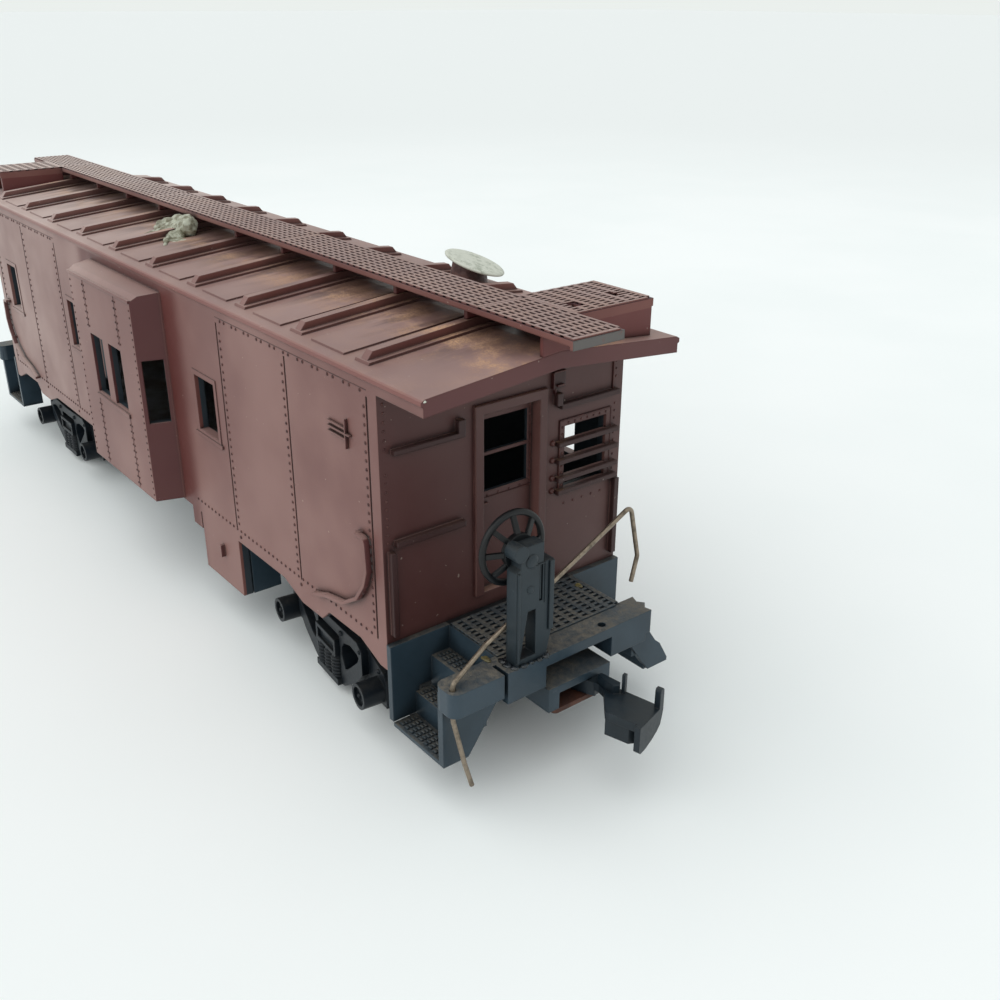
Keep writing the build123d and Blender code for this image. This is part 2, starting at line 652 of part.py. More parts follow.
        # slots and railing holes in the beam; the near right slot went with the break
        slots = [s for s in (-1, 1) if (end, s) != (1, 1)]
        with Locations(*[(end * (BEAM_X - 1.0), s * SLOT_Y, 14.6) for s in slots]):
            Box(2.4, SLOT_W, 6, mode=Mode.SUBTRACT)
        with Locations((end * HOLE_X, -end * HOLE_OUT_Y, 15)):
            Cylinder(HOLE_R, 5, mode=Mode.SUBTRACT)
        with Locations((end * HOLE_X, end * HOLE_IN_Y, 15)):
            Cylinder(EMPTY_HOLE_R if end == 1 else HOLE_R, 5, mode=Mode.SUBTRACT)
        # pilot hole of the truck screw
        with Locations((end * TRUCK_X, 0, (BOSS_Z0 + FLOOR_Z0) / 2)):
            Cylinder(SCREW_R, FLOOR_Z0 - BOSS_Z0 + 0.6, mode=Mode.SUBTRACT)
    # the near right end of the beam is broken away
    with BuildSketch(Plane.XY.offset(BEAM_BOTTOM - 0.2)):
        with BuildLine():
            Polyline(*[(DECK_EDGE + x, y) for x, y in BEAM_BREAK], close=True)
        make_face()
    extrude(amount=BEAM_TOP - BEAM_BOTTOM + 1, mode=Mode.SUBTRACT)
underframe.part.label = "underframe"
export_step(underframe.part, "parts/underframe.step")

with BuildPart() as floor_weight:
    with Locations((0, 0, FLOOR_Z1 + WEIGHT_T / 2)):
        Box(WEIGHT_L, WEIGHT_W, WEIGHT_T)
floor_weight.part.label = "floor_weight"
export_step(floor_weight.part, "parts/floor_weight.step")

# Brake stands and their hand wheels
STAND_X1 = BEAM_X - 0.3
STAND_X0 = STAND_X1 - 1.7
STAND_LEFT = -9.15
STAND_RIGHT = -4.1
STAND_TOP = 30.8
STAND_SHOULDER = 28.4
NUB_R = 0.95
HAND_WHEEL_X = STAND_X0 - 1.3
HAND_WHEEL_Y = -7.4
HAND_WHEEL_Z = 29.5
HAND_WHEEL_R = 4.4
HAND_WHEEL_RIM = 0.75
HUB_R = 2.0
SPOKE_COUNT = 8
# Outline of the stand in the YZ plane
STAND = (
    (STAND_LEFT, BEAM_TOP),
    (-4.95, BEAM_TOP),
    (STAND_RIGHT, 20.3),
    (STAND_RIGHT, STAND_SHOULDER),
    (-5.5, STAND_SHOULDER),
    (-5.5, STAND_TOP),
    (-8.6, STAND_TOP),
    (-8.6, STAND_SHOULDER),
    (STAND_LEFT, 28.0),
)
STAND_OPENING = ((-8.6, 17.3), (-6.45, 17.3), (-6.5, 23.0), (-7.6, 23.0))

for name, end in (("brake_stand_near", 1), ("brake_stand_far", -1)):
    with BuildPart() as stand:
        with BuildSketch(Plane.YZ.offset(end * (STAND_X0 + STAND_X1) / 2)):
            with BuildLine():
                Polyline(*[(end * y, z) for y, z in STAND], close=True)
            make_face()
            with BuildLine():
                Polyline(*[(end * y, z) for y, z in STAND_OPENING], close=True)
            make_face(mode=Mode.SUBTRACT)
            # slot of the chain
            with Locations((end * -5.8, 26.0)):
                Rectangle(0.45, 4.4, mode=Mode.SUBTRACT)
        extrude(amount=(STAND_X1 - STAND_X0) / 2, both=True)
        # rounded head of the shaft bearing at the upper corner
        with Locations((end * (STAND_X0 + 1.1), end * -8.75, 30.3)):
            Cylinder(NUB_R, 1.8, rotation=(0, 90, 0))
    stand.part.label = name
    export_step(stand.part, "parts/" + name + ".step")

for name, end in (("brake_wheel_near", 1), ("brake_wheel_far", -1)):
    hub_x = STAND_X0 - HAND_WHEEL_X
    centre = (end * HAND_WHEEL_X, end * HAND_WHEEL_Y, HAND_WHEEL_Z)
    wheel_plane = Plane(origin=centre, x_dir=(0, end, 0), z_dir=(end, 0, 0))
    spoke_end = HAND_WHEEL_R - HAND_WHEEL_RIM + 0.25
    with BuildPart() as hand_wheel:
        # rim, hub disc against the stand and dished spokes
        with BuildSketch(wheel_plane.offset(-0.35)):
            Circle(HAND_WHEEL_R)
            Circle(HAND_WHEEL_R - HAND_WHEEL_RIM, mode=Mode.SUBTRACT)
        extrude(amount=0.7)
        fillet(hand_wheel.edges().filter_by(GeomType.CIRCLE), radius=0.3)
        with BuildSketch(wheel_plane.offset(hub_x - 0.7)):
            Circle(HUB_R)
        extrude(amount=0.7)
        for k in range(SPOKE_COUNT):
            a = radians(360 / SPOKE_COUNT * k)
            spoke = Plane(origin=centre, x_dir=(0, cos(a), sin(a)), z_dir=(0, end * sin(a), -end * cos(a)))
            with BuildSketch(spoke):
                with BuildLine():
                    Polyline(
                        (spoke_end, -0.2),
                        (spoke_end, 0.2),
                        (HUB_R - 0.2, hub_x - 0.15),
                        (HUB_R - 0.2, hub_x - 0.6),
                        close=True,
                    )
                make_face()
            extrude(amount=0.3, both=True)
    hand_wheel.part.label = name
    export_step(hand_wheel.part, "parts/" + name + ".step")

# Wire railings; the near one is bent out of shape, the far one keeps its form
WIRE_R = 0.28
# Corners of each: distance out from the railing holes, y, z
BENT = (
    (1.1, -15.4, 4.0),
    (0.8, -16.1, 6.9),
    (0.0, -17.0, 12.6),
    (0.0, -17.0, 17.2),
    (-1.3, -11.5, 19.4),
    (-1.7, -1.5, 23.7),
    (-2.9, 11.1, 28.7),
    (-2.9, 12.7, 21.7),
    (-2.9, 11.9, 18.4),
)
STRAIGHT = (
    (0.0, 17.0, 12.2),
    (0.0, 17.0, 17.6),
    (1.5, 17.0, 29.5),
    (1.5, -4.4, 29.5),
    (0.0, -4.4, 17.6),
    (0.0, -4.4, 12.2),
)
for name, end, corners, bend in (("railing_near", 1, BENT, 0.8), ("railing_far", -1, STRAIGHT, 1.2)):
    points = [(end * (HOLE_X + x), y, z) for x, y, z in corners]
    with BuildPart() as railing:
        with BuildLine() as wire:
            FilletPolyline(*points, radius=bend)
        with BuildSketch(Plane(origin=points[0], z_dir=wire.line % 0)):
            Circle(WIRE_R)
        sweep(path=wire.line)
    railing.part.label = name
    export_step(railing.part, "parts/" + name + ".step")

# Truck frames with their wheelsets
BOLSTER_Z0 = 8.5
BOLSTER_Z1 = 11.0
BOLSTER_HALF = 2.9
BELLY_OUT = 14.4       # the frame's middle stands out further than its ends
BELLY_HALF = 9.6
SPRING_OUT = 14.95
RECESS_BACK = 12.6
RECESS_W = 6.4
COIL_R = 0.8
COIL_X = (-2.0, 0.0, 2.0)
CAP_RIM = 0.45
SHOULDER_HALF = 11.5   # the axle steps down to its stubs here
# Side frame outline in the truck's own XZ plane, for positive x
FRAME_LOW = ((0, 1.4), (3.4, 1.4), (4.3, 1.7), (6.2, 3.0), (7.8, 4.1))
FRAME_HALF = FRAME_LOW + (
    (9.2, 4.3),
    (10.3, 3.6),
    (14.1, 3.6),
    (14.1, 5.4),
    (13.9, 7.5),
    (13.4, 8.3),
    (12.3, 8.7),
    (10.5, 9.3),
    (8.4, 10.4),
    (0, 10.1),
)
BELLY = FRAME_LOW + ((BELLY_HALF, 6.2), (BELLY_HALF, 9.5), (8.4, 10.4), (0, 10.1))
WINDOW_HALF = (
    (4.6, 4.4),
    (5.4, 4.8),
    (8.4, 7.5),
    (8.8, 8.3),
    (8.3, 8.7),
    (6.4, 8.9),
    (4.6, 8.3),
    (3.95, 7.5),
    (3.75, 6.2),
)
# Half section of one wheel for positive y: distance from the middle, radius
WHEEL = (
    (BACK_HALF, AXLE_R),
    (BACK_HALF, FLANGE_R - 0.15),
    (BACK_HALF + 0.2, FLANGE_R),
    (BACK_HALF + FLANGE_T - 0.15, FLANGE_R),
    (BACK_HALF + FLANGE_T + 0.15, TREAD_R + 0.1),
    (TREAD_END - 0.2, TREAD_R),
    (TREAD_END, TREAD_R - 0.2),
    (TREAD_END, TREAD_R - 0.8),
    (TREAD_END - 0.7, TREAD_R - 1.0),
    (TREAD_END - 0.7, 1.8),
    (TREAD_END, 1.6),
    (TREAD_END, AXLE_R),
)
# Half section of the axle: distance from the middle, radius
AXLE = (
    (-STUB_END, 0),
    (-STUB_END, STUB_R),
    (-SHOULDER_HALF, STUB_R),
    (-SHOULDER_HALF, AXLE_R),
    (SHOULDER_HALF, AXLE_R),
    (SHOULDER_HALF, STUB_R),
    (STUB_END, STUB_R),
    (STUB_END, 0),
)

for name, end, turn in (("near", 1, NEAR_TURN), ("far", -1, 0.0)):
    base = Plane(Location((end * TRUCK_X, 0, 0), (0, 0, turn)))
    side_plane = Plane(origin=base.origin, x_dir=base.x_dir, z_dir=-base.y_dir)
    with BuildPart() as truck:
        for s in (-1, 1):
            # the plain side frame, then its middle, which stands out as a belly with slanted ends
            for outline, offset, depth in (
                (FRAME_HALF, FRAME_IN, FRAME_OUT - FRAME_IN),
                (BELLY, FRAME_OUT - 0.1, BELLY_OUT - FRAME_OUT + 0.1),
            ):
                with BuildSketch(side_plane.offset(-s * offset)):
                    with BuildLine():
                        Polyline(*outline, *[(-x, z) for x, z in reversed(outline[1:-1])], close=True)
                    make_face()
                    for h in (-1, 1):
                        with BuildLine():
                            Polyline(*[(h * x, z) for x, z in WINDOW_HALF], close=True)
                        make_face(mode=Mode.SUBTRACT)
                extrude(amount=-s * depth)
            # recess of the bolster end and the springs
            with BuildSketch(side_plane.offset(-s * RECESS_BACK)):
                with Locations((0, 5.4)):
                    Rectangle(RECESS_W, 6.6)
            extrude(amount=-s * 4, mode=Mode.SUBTRACT)
            # axle box caps with their hollow rims
            with BuildSketch(side_plane.offset(-s * (FRAME_OUT - 0.4))):
                with Locations((-AXLE_HALF, AXLE_Z), (AXLE_HALF, AXLE_Z)):
                    Circle(CAP_R)
            extrude(amount=-s * (CAP_OUT - FRAME_OUT + 0.4))
            with BuildSketch(side_plane.offset(-s * (CAP_OUT - 0.5))):
                with Locations((-AXLE_HALF, AXLE_Z), (AXLE_HALF, AXLE_Z)):
                    Circle(CAP_R - CAP_RIM)
            extrude(amount=-s * 1.0, mode=Mode.SUBTRACT)
            # spring seat, bolster end with its sunk panel, three coils
            with BuildSketch(side_plane.offset(-s * (RECESS_BACK - 0.2))):
                with Locations((0, 1.75)):
                    Rectangle(RECESS_W, 0.9)
                with Locations((0, 6.7)):
                    Rectangle(2 * BOLSTER_HALF, 2.5)
            extrude(amount=-s * (SPRING_OUT - RECESS_BACK + 0.2))
            with BuildSketch(side_plane.offset(-s * (SPRING_OUT - 0.4))):
                with Locations((0, 6.7)):
                    Rectangle(4.8, 1.5)
            extrude(amount=-s * 1, mode=Mode.SUBTRACT)
            with BuildSketch(base.offset(2.0)):
                with Locations(*[(x, s * (SPRING_OUT - COIL_R)) for x in COIL_X]):
                    Circle(COIL_R)
            extrude(amount=3.6)
            # blind holes for the axle stubs
            with BuildSketch(side_plane.offset(-s * (FRAME_IN - 0.5))):
                with Locations((-AXLE_HALF, AXLE_Z), (AXLE_HALF, AXLE_Z)):
                    Circle(STUB_HOLE_R)
            extrude(amount=-s * (STUB_END + 0.15 - FRAME_IN + 0.5), mode=Mode.SUBTRACT)
        with BuildSketch(base.offset(BOLSTER_Z0)):
            Rectangle(2 * BOLSTER_HALF, 2 * FRAME_IN + 0.6)
        extrude(amount=BOLSTER_Z1 - BOLSTER_Z0)
        with BuildSketch(base.offset(BOLSTER_Z0 - 1)):
            Circle(SCREW_HOLE_R)
        extrude(amount=BOLSTER_Z1 - BOLSTER_Z0 + 2, mode=Mode.SUBTRACT)
    truck.part.label = "truck_frame_" + name
    export_step(truck.part, "parts/truck_frame_" + name + ".step")

    for number, h in ((1, -1), (2, 1)):
        centre = base.from_local_coords((h * AXLE_HALF, 0, AXLE_Z))
        lathe = Plane(origin=centre, x_dir=base.y_dir, z_dir=base.x_dir)
        spin = Axis(centre, base.y_dir)
        with BuildPart() as axle:
            with BuildSketch(lathe):
                with BuildLine():
                    Polyline(*AXLE, close=True)
                make_face()
            revolve(axis=spin)
        axle.part.label = "axle_" + name + str(number)
        export_step(axle.part, "parts/axle_" + name + str(number) + ".step")
        with BuildPart() as wheels:
            for s in (-1, 1):
                with BuildSketch(lathe):
                    with BuildLine():
                        Polyline(*[(s * y, r) for y, r in WHEEL], close=True)
                    make_face()
                revolve(axis=spin)
        wheels.part.label = "wheels_" + name + str(number)
        export_step(wheels.part, "parts/wheels_" + name + str(number) + ".step")

# Screws that hold the trucks
SCREW_HEAD_R = 2.3
SCREW_HEAD_T = 1.1

for name, end in (("truck_screw_near", 1), ("truck_screw_far", -1)):
    with BuildPart() as screw:
        with BuildSketch(Plane.XY.offset(BOLSTER_Z0 - 0.1)):
            with Locations((end * TRUCK_X, 0)):
                Circle(SCREW_R)
        extrude(amount=FLOOR_Z0 - 0.2 - BOLSTER_Z0)
        with BuildSketch(Plane.XY.offset(BOLSTER_Z0 - 0.1)):
            with Locations((end * TRUCK_X, 0)):
                Circle(SCREW_HEAD_R)
        extrude(amount=-SCREW_HEAD_T)
        with Locations((end * TRUCK_X, 0, BOLSTER_Z0 - 0.1 - SCREW_HEAD_T)):
            Box(0.5, 6, 0.8, mode=Mode.SUBTRACT)
    screw.part.label = name
    export_step(screw.part, "parts/" + name + ".step")

# Couplers
SHANK_Z0 = 9.1
SHANK_Z1 = 10.9
PIVOT_HOLE_R = 1.25
POST_X = 11.1
POST_Y = -0.45
HEAD_Z0 = 7.9
HEAD_Z1 = 11.0
NECK_Z0 = 9.9
LUMP_TOP = 12.1
HORN_TOP = 13.5
BLADE_X = 15.2
BLADE_T = 0.7
NEAR_SWING = 16.0      # the near coupler stands swung to one side (degrees)
# Points in plan from the pivot, the coupler pointing along +X
SHANK = (
    (-1.9, -1.5),
    (2.2, -1.5),
    (3.6, -1.0),
    (7.4, -0.6),
    (7.4, 1.1),
    (3.6, 1.1),
    (2.2, 1.5),
    (-1.9, 1.5),
)
# Top plate of the head with its neck
NECK = (
    (6.6, -0.55),
    (8.0, -0.7),
    (8.9, -1.2),
    (10.3, -3.4),
    (11.1, -4.6),
    (11.6, -4.8),
    (15.5, -4.8),
    (15.5, -0.3),
    (11.6, -0.1),
    (8.4, 0.1),
    (6.6, 1.0),
)
BLOCK = ((11.2, -4.7), (14.2, -4.7), (14.8, -4.1), (14.8, -0.4), (11.2, -0.4))
LUMP = ((7.6, -0.4), (8.9, -1.0), (10.2, -1.4), (10.8, -0.9), (10.5, -0.3), (7.8, 0.1))
# Upright blade across the head's front with its thin post, seen from the front
BLADE = (
    (-5.3, HEAD_Z1),
    (-5.3, 7.8),
    (-4.9, 7.4),
    (-3.9, 7.4),
    (-2.4, 7.75),
    (-1.2, 8.25),
    (-0.5, 8.8),
    (-0.15, 9.8),
    (0.0, 10.6),
    (-0.05, 13.2),
    (-0.3, HORN_TOP),
    (-0.8, HORN_TOP),
    (-0.9, 13.2),
    (-0.9, HEAD_Z1),
)
for name, end, swing in (("coupler_near", 1, NEAR_SWING), ("coupler_far", -1, 180.0)):
    base = Plane(Location((end * PIVOT_X, 0, 0), (0, 0, swing)))
    with BuildPart() as coupler:
        for outline, z0, z1 in (
            (SHANK, SHANK_Z0, SHANK_Z1),
            (NECK, NECK_Z0, HEAD_Z1),
            (BLOCK, HEAD_Z0, NECK_Z0 + 0.3),
            (LUMP, NECK_Z0 + 0.3, LUMP_TOP),
        ):
            with BuildSketch(base.offset(z0)):
                with BuildLine():
                    Polyline(*outline, close=True)
                make_face()
            extrude(amount=z1 - z0)
        with BuildSketch(base.offset(NECK_Z0 + 0.3)):
            with Locations((POST_X, POST_Y)):
                Rectangle(0.4, 0.5)
        extrude(amount=HORN_TOP - NECK_Z0 - 0.3)
        front = Plane(origin=base.from_local_coords((BLADE_X, 0, 0)), x_dir=base.y_dir, z_dir=base.x_dir)
        with BuildSketch(front):
            with BuildLine():
                Polyline(*BLADE, close=True)
            make_face()
        extrude(amount=BLADE_T)
        with BuildSketch(base.offset(SHANK_Z0 - 0.1)):
            Circle(PIVOT_HOLE_R)
        extrude(amount=SHANK_Z1 - SHANK_Z0 + 0.2, mode=Mode.SUBTRACT)
    coupler.part.label = name
    export_step(coupler.part, "parts/" + name + ".step")

# Steel clips that close the coupler pockets from below
COVER_L = 10.2
COVER_W = 7.6
COVER_T = 0.6
COVER_X = PLATE_X + 7.2

for name, end in (("coupler_cover_near", 1), ("coupler_cover_far", -1)):
    with BuildPart() as cover:
        with Locations((end * COVER_X, 0, BOX_BOTTOM - COVER_T / 2)):
            Box(COVER_L, COVER_W, COVER_T)
        fillet(cover.edges().filter_by(Axis.Z), radius=0.6)
    cover.part.label = name
    export_step(cover.part, "parts/" + name + ".step")
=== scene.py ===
from math import cos, pi, radians, sin

import bpy
from mathutils import Matrix, Vector


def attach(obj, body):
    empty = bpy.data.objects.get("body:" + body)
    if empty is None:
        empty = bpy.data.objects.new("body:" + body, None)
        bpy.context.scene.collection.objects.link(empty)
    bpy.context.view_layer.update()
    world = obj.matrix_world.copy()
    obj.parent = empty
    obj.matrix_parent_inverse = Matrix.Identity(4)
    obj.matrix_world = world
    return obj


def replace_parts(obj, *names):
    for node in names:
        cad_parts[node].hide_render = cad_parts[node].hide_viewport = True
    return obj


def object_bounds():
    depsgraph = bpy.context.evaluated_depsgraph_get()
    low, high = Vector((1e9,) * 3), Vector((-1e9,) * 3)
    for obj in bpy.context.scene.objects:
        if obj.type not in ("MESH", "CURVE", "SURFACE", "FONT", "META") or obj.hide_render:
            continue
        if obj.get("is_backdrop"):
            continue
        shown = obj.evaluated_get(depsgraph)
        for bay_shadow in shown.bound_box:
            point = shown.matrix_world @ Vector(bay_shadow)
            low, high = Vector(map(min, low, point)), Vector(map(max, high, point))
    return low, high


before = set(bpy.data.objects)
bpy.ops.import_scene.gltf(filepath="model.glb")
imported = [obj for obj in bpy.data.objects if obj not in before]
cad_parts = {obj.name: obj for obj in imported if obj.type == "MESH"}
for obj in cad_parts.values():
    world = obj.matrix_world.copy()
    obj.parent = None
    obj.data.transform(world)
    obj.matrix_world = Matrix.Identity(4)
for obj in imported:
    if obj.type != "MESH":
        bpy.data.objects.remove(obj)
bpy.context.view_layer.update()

# Looks of a bay-window caboose model: sprayed styrene body on dark plastic running gear.
# Sizes are millimetres in the CAD frame, X along the car and Z up; MM turns them to metres.
MM = 0.001

SIDE_Y = 17.5          # side wall
END_X = 67.7           # end wall
DOOR_X = 66.6          # face of the door, set back in its recess
BAY_Y = 21.5           # bay face
EAVE_Z = 46.9          # where the side wall meets the drip strip
WALK_TOP = 52.3        # top of the walk's slab, under its lattice
WALK_END = 81.5
DECK_TOP = 16.5
DECK_END = 77.35       # where the deck's grating meets the end beam
DECK_HALF = 9.4
TRUCK_X = 49.8
NEAR_TURN = -5.6       # the near truck stands turned (degrees)
SKIN = 0.03            # a face counts as lying on a height when it is this close to it

HALF_TURN = Matrix.Rotation(pi, 4, "Z")
ENDS = (("near", Matrix.Identity(4)), ("far", HALF_TURN))


# Colours and nodes

def linear(code):
    """An sRGB hex colour as linear red, green, blue and alpha."""
    parts = [int(code[i:i + 2], 16) / 255 for i in (1, 3, 5)]
    return [p / 12.92 if p <= 0.04045 else ((p + 0.055) / 1.055) ** 2.4 for p in parts] + [1.0]


# Sockets by number. A range: 0 value, 1 and 2 where it starts and ends, 3 and 4 what it gives
# there (0 and 1 if not set). A mix of colours: 0 share, 6 and 7 the colours; of numbers: 2 and 3.
NOISE = "ShaderNodeTexNoise"
RANGE = "ShaderNodeMapRange"
MATH = "ShaderNodeMath"
MIX = "ShaderNodeMix"
BUMP = "ShaderNodeBump"
SPLIT = "ShaderNodeSeparateXYZ"
EASED = {"interpolation_type": "SMOOTHSTEP"}
COLOURS = {"data_type": "RGBA", "out": 2}
TIMES = {"operation": "MULTIPLY"}
LARGER = {"operation": "MAXIMUM"}
UNSIGNED = {"operation": "ABSOLUTE"}
SCALED_PLUS = {"operation": "MULTIPLY_ADD"}
BELOW = "LESS_THAN"
ABOVE = "GREATER_THAN"


def feed(tree, node, sockets):
    """Gives inputs, by name or number, a value or the output that feeds them."""
    for key, value in sockets.items():
        if isinstance(value, bpy.types.NodeSocket):
            tree.links.new(value, node.inputs[key])
        else:
            node.inputs[key].default_value = value


def put(tree, kind, sockets=None, out=0, **settings):
    """Adds a node with its settings and what feeds it, and gives one of its outputs."""
    made = tree.nodes.new(kind)
    for name, value in settings.items():
        setattr(made, name, value)
    feed(tree, made, sockets or {})
    return made.outputs[out] if made.outputs else None


def start_material(name):
    """A new material: its tree, its shader and the object's coordinates in metres."""
    material = bpy.data.materials.new(name)
    material.use_nodes = True
    tree = material.node_tree
    shader = tree.nodes["Principled BSDF"]
    return material, tree, shader, put(tree, "ShaderNodeTexCoord", out="Object")


# What the finishes share: where a layer lies, and how it colours or thins another

def fading(tree, mask, edges, **settings):
    """The mask kept inside soft edges: a coordinate, where the mask is gone, where it is whole."""
    for value, gone, whole in edges:
        edge = put(tree, RANGE, {0: value, 1: gone * MM, 2: whole * MM}, **settings)
        mask = put(tree, MATH, {0: mask, 1: edge}, **TIMES)
    return mask


def within(tree, mask, limits):
    """The mask kept inside sharp limits: a coordinate, below or above, the limit."""
    for value, side, limit in limits:
        kept = put(tree, MATH, {0: value, 1: limit * MM}, operation=side)
        mask = put(tree, MATH, {0: mask, 1: kept}, **TIMES)
    return mask


def stained(tree, colour, mask, share, tint):
    """The colour with a share of the tint over it where the mask lies."""
    cover = put(tree, MATH, {0: mask, 1: share}, **TIMES)
    return put(tree, MIX, {0: cover, 6: colour, 7: linear(tint)}, **COLOURS)


def thinned(tree, layer, mask, left):
    """The layer with only a share of it left where the mask lies."""
    return put(tree, MATH, {0: layer, 1: put(tree, RANGE, {0: mask, 3: 1.0, 4: left})}, **TIMES)


def painted_corner_shade(tree, colour, reach, dark, share):
    """The colour with painted shade in inner corners, where little open sky reaches; nothing on open faces.
    """
    open_sky = put(tree, "ShaderNodeAmbientOcclusion", {"Distance": reach * MM}, out="AO", samples=6)
    corner_shade = put(tree, RANGE, {0: open_sky, 1: 0.85, 2: 0.45, 4: share}, **EASED)
    return put(tree, MIX, {0: corner_shade, 6: colour, 7: linear(dark)}, **COLOURS)


class Spot:
    """Where a point of the lacquer lies and which way it faces, as sockets."""

    def __init__(self, tree, place):
        normal = put(tree, "ShaderNodeNewGeometry", out="Normal")
        self.place = place
        self.x, self.y, self.z = [put(tree, SPLIT, {0: place}, out=axis) for axis in "XYZ"]
        self.along = put(tree, MATH, {0: self.x}, **UNSIGNED)
        self.across = put(tree, MATH, {0: self.y}, **UNSIGNED)
        self.up = put(tree, SPLIT, {0: normal}, out="Z")
        to_end = put(tree, MATH, {0: put(tree, SPLIT, {0: normal}, out="X")}, **UNSIGNED)
        self.faces_end = put(tree, RANGE, {0: to_end, 1: 0.6, 2: 0.85}, **EASED)


# Boxcar-brown lacquer of the shell and the walk

def lacquer_bloom_and_sheen(tree, at, clouds, fine, on_flats):
    """Pale bloom in patches, partly real and partly painted sheen: stronger on what faces up, and as
    painted glare towards the far end; thin on what faces along the car, as painted shade."""
    bloom_and_sheen = put(tree, RANGE, {0: clouds, 1: 0.36, 2: 0.66, 3: 0.10, 4: 0.20}, **EASED)
    specks = put(tree, RANGE, {0: fine, 1: 0.3, 2: 0.7, 3: -0.02, 4: 0.03})
    bloom_and_sheen = put(tree, MATH, {0: bloom_and_sheen, 1: specks})
    flats = put(tree, RANGE, {0: at.up, 1: 0.5, 2: 0.9, 4: on_flats}, **EASED)
    bloom_and_sheen = put(tree, MATH, {0: bloom_and_sheen, 1: flats})
    # painted shade: faces that look along the car, turned from the light, keep little of it
    bloom_and_sheen = thinned(tree, bloom_and_sheen, at.faces_end, 0.35)
    # painted glare: it grows towards the far end
    far_end_glare = put(tree, RANGE, {0: at.x, 1: 10 * MM, 2: -70 * MM, 3: 1.0, 4: 3.0})
    return put(tree, MATH, {0: bloom_and_sheen, 1: far_end_glare}, **TIMES)


def shell_tones_and_painted_shade(tree, at, colour, bloom_and_sheen):
    """Colour and bloom where the shell's own parts differ from its plain walls, much of it painted shade on
    faces turned from the light.
    """
    # painted shade: the end walls, turned from the light, are painted darker, most of all on the side away
    # from the ladder
    end_wall_shade = fading(tree, 1.0, ((at.along, 66.0, 66.4), (at.along, 69.4, 69.0), (at.z, 47.6, 47.2)), **EASED)
    end_wall_shade = put(tree, MATH, {0: end_wall_shade, 1: at.faces_end}, **TIMES)
    colour = stained(tree, colour, end_wall_shade, 0.85, "#3C1A19")
    span = SIDE_Y * END_X * MM * MM
    to_corner = put(tree, MATH, {0: at.x, 1: at.y}, **TIMES)
    shade_across_end = put(tree, RANGE, {0: to_corner, 1: -span, 2: span, 3: 0.3, 4: 1.5})
    bloom_and_sheen = put(tree, MATH, {0: bloom_and_sheen, 1: put(tree, MIX, {0: end_wall_shade, 2: 1.0, 3: shade_across_end})}, **TIMES)
    # the bloom and its painted sheen thin at the drip strip and nearly stop in the corner beside the bays,
    # where a painted shadow of the bay darkens the wall
    strip = fading(tree, 1.0, ((at.across, 17.45, 17.6), (at.z, EAVE_Z, 47.1)), **EASED)
    bay_shadow = fading(tree, 1.0, ((at.along, 20.5, 16.5),), **EASED)
    bay_shadow = fading(tree, bay_shadow, ((at.across, 17.62, 17.55), (at.z, EAVE_Z, 46.6)))
    strip_and_bay_shadow = put(tree, MATH, {0: put(tree, MATH, {0: strip, 1: 0.5}, **TIMES),
                            1: put(tree, MATH, {0: bay_shadow, 1: 0.85}, **TIMES)}, **LARGER)
    bloom_and_sheen = thinned(tree, bloom_and_sheen, strip_and_bay_shadow, 0.0)
    # painted shadow of the bay on the wall beside it
    colour = stained(tree, colour, bay_shadow, 0.8, "#562724")
    colour = stained(tree, colour, strip, 0.7, "#7A453F")
    # ledges, rungs and grab irons of the end wall are rubbed dark and hold little bloom
    proud = fading(tree, 1.0, ((at.along, 67.88, 67.95), (at.along, 68.8, 68.7),
                               (at.across, 5.25, 5.35), (at.z, 46.0, 45.9)))
    bloom_and_sheen = thinned(tree, bloom_and_sheen, proud, 0.2)
    colour = stained(tree, colour, proud, 1.0, "#331817")
    # painted shade: the bay's slanting sides and the roof's end face, turned from the light, are painted
    # darker too
    end_facing_shade = fading(tree, 1.0, ((at.across, 17.6, 17.8),))
    overhang = fading(tree, 1.0, ((at.along, 75.5, 75.6),))
    end_facing_shade = put(tree, MATH, {0: end_facing_shade, 1: overhang}, **LARGER)
    end_facing_shade = put(tree, MATH, {0: end_facing_shade, 1: at.faces_end}, **TIMES)
    bloom_and_sheen = thinned(tree, bloom_and_sheen, end_facing_shade, 0.4)
    return stained(tree, colour, end_facing_shade, 0.75, "#4C2427"), bloom_and_sheen


def walk_painted_shade(tree, at, colour, bloom_and_sheen):
    """Painted shade on the walk: its upright faces keep more of the red under less bloom and sheen, most of
    all the board hung in shade under each end.
    """
    upright = put(tree, RANGE, {0: at.up, 1: 0.5, 2: 0.3})
    hung_board_shade = fading(tree, upright, ((at.z, 51.3, 51.2),))
    bloom_and_sheen = thinned(tree, bloom_and_sheen, upright, 0.55)
    bloom_and_sheen = thinned(tree, bloom_and_sheen, hung_board_shade, 0.4)
    return stained(tree, colour, hung_board_shade, 0.8, "#5C2726"), bloom_and_sheen


def run_down_dirt(tree, at, colour):
    """Dirt that has run down the roof sheets from under the walk: streaks drawn out across."""
    pitch = (1 / (2.4 * MM), 1 / (15 * MM), 1 / (9 * MM))
    drawn = put(tree, "ShaderNodeVectorMath", {0: at.place, 1: pitch}, **TIMES)
    streaks = put(tree, NOISE, {"Vector": drawn, "Scale": 1.0, "Detail": 3.0, "Roughness": 0.55})
    streaks = put(tree, RANGE, {0: streaks, 1: 0.46, 2: 0.62}, **EASED)
    below_walk = put(tree, RANGE, {0: at.across, 1: 14.5 * MM, 2: 5.0 * MM, 4: 0.65}, **EASED)
    streaks = put(tree, MATH, {0: streaks, 1: below_walk}, **TIMES)
    streaks = fading(tree, streaks, ((at.z, EAVE_Z, 47.4), (at.along, 72.0, 66.0)))
    return stained(tree, colour, streaks, 1.0, "#3A2320")


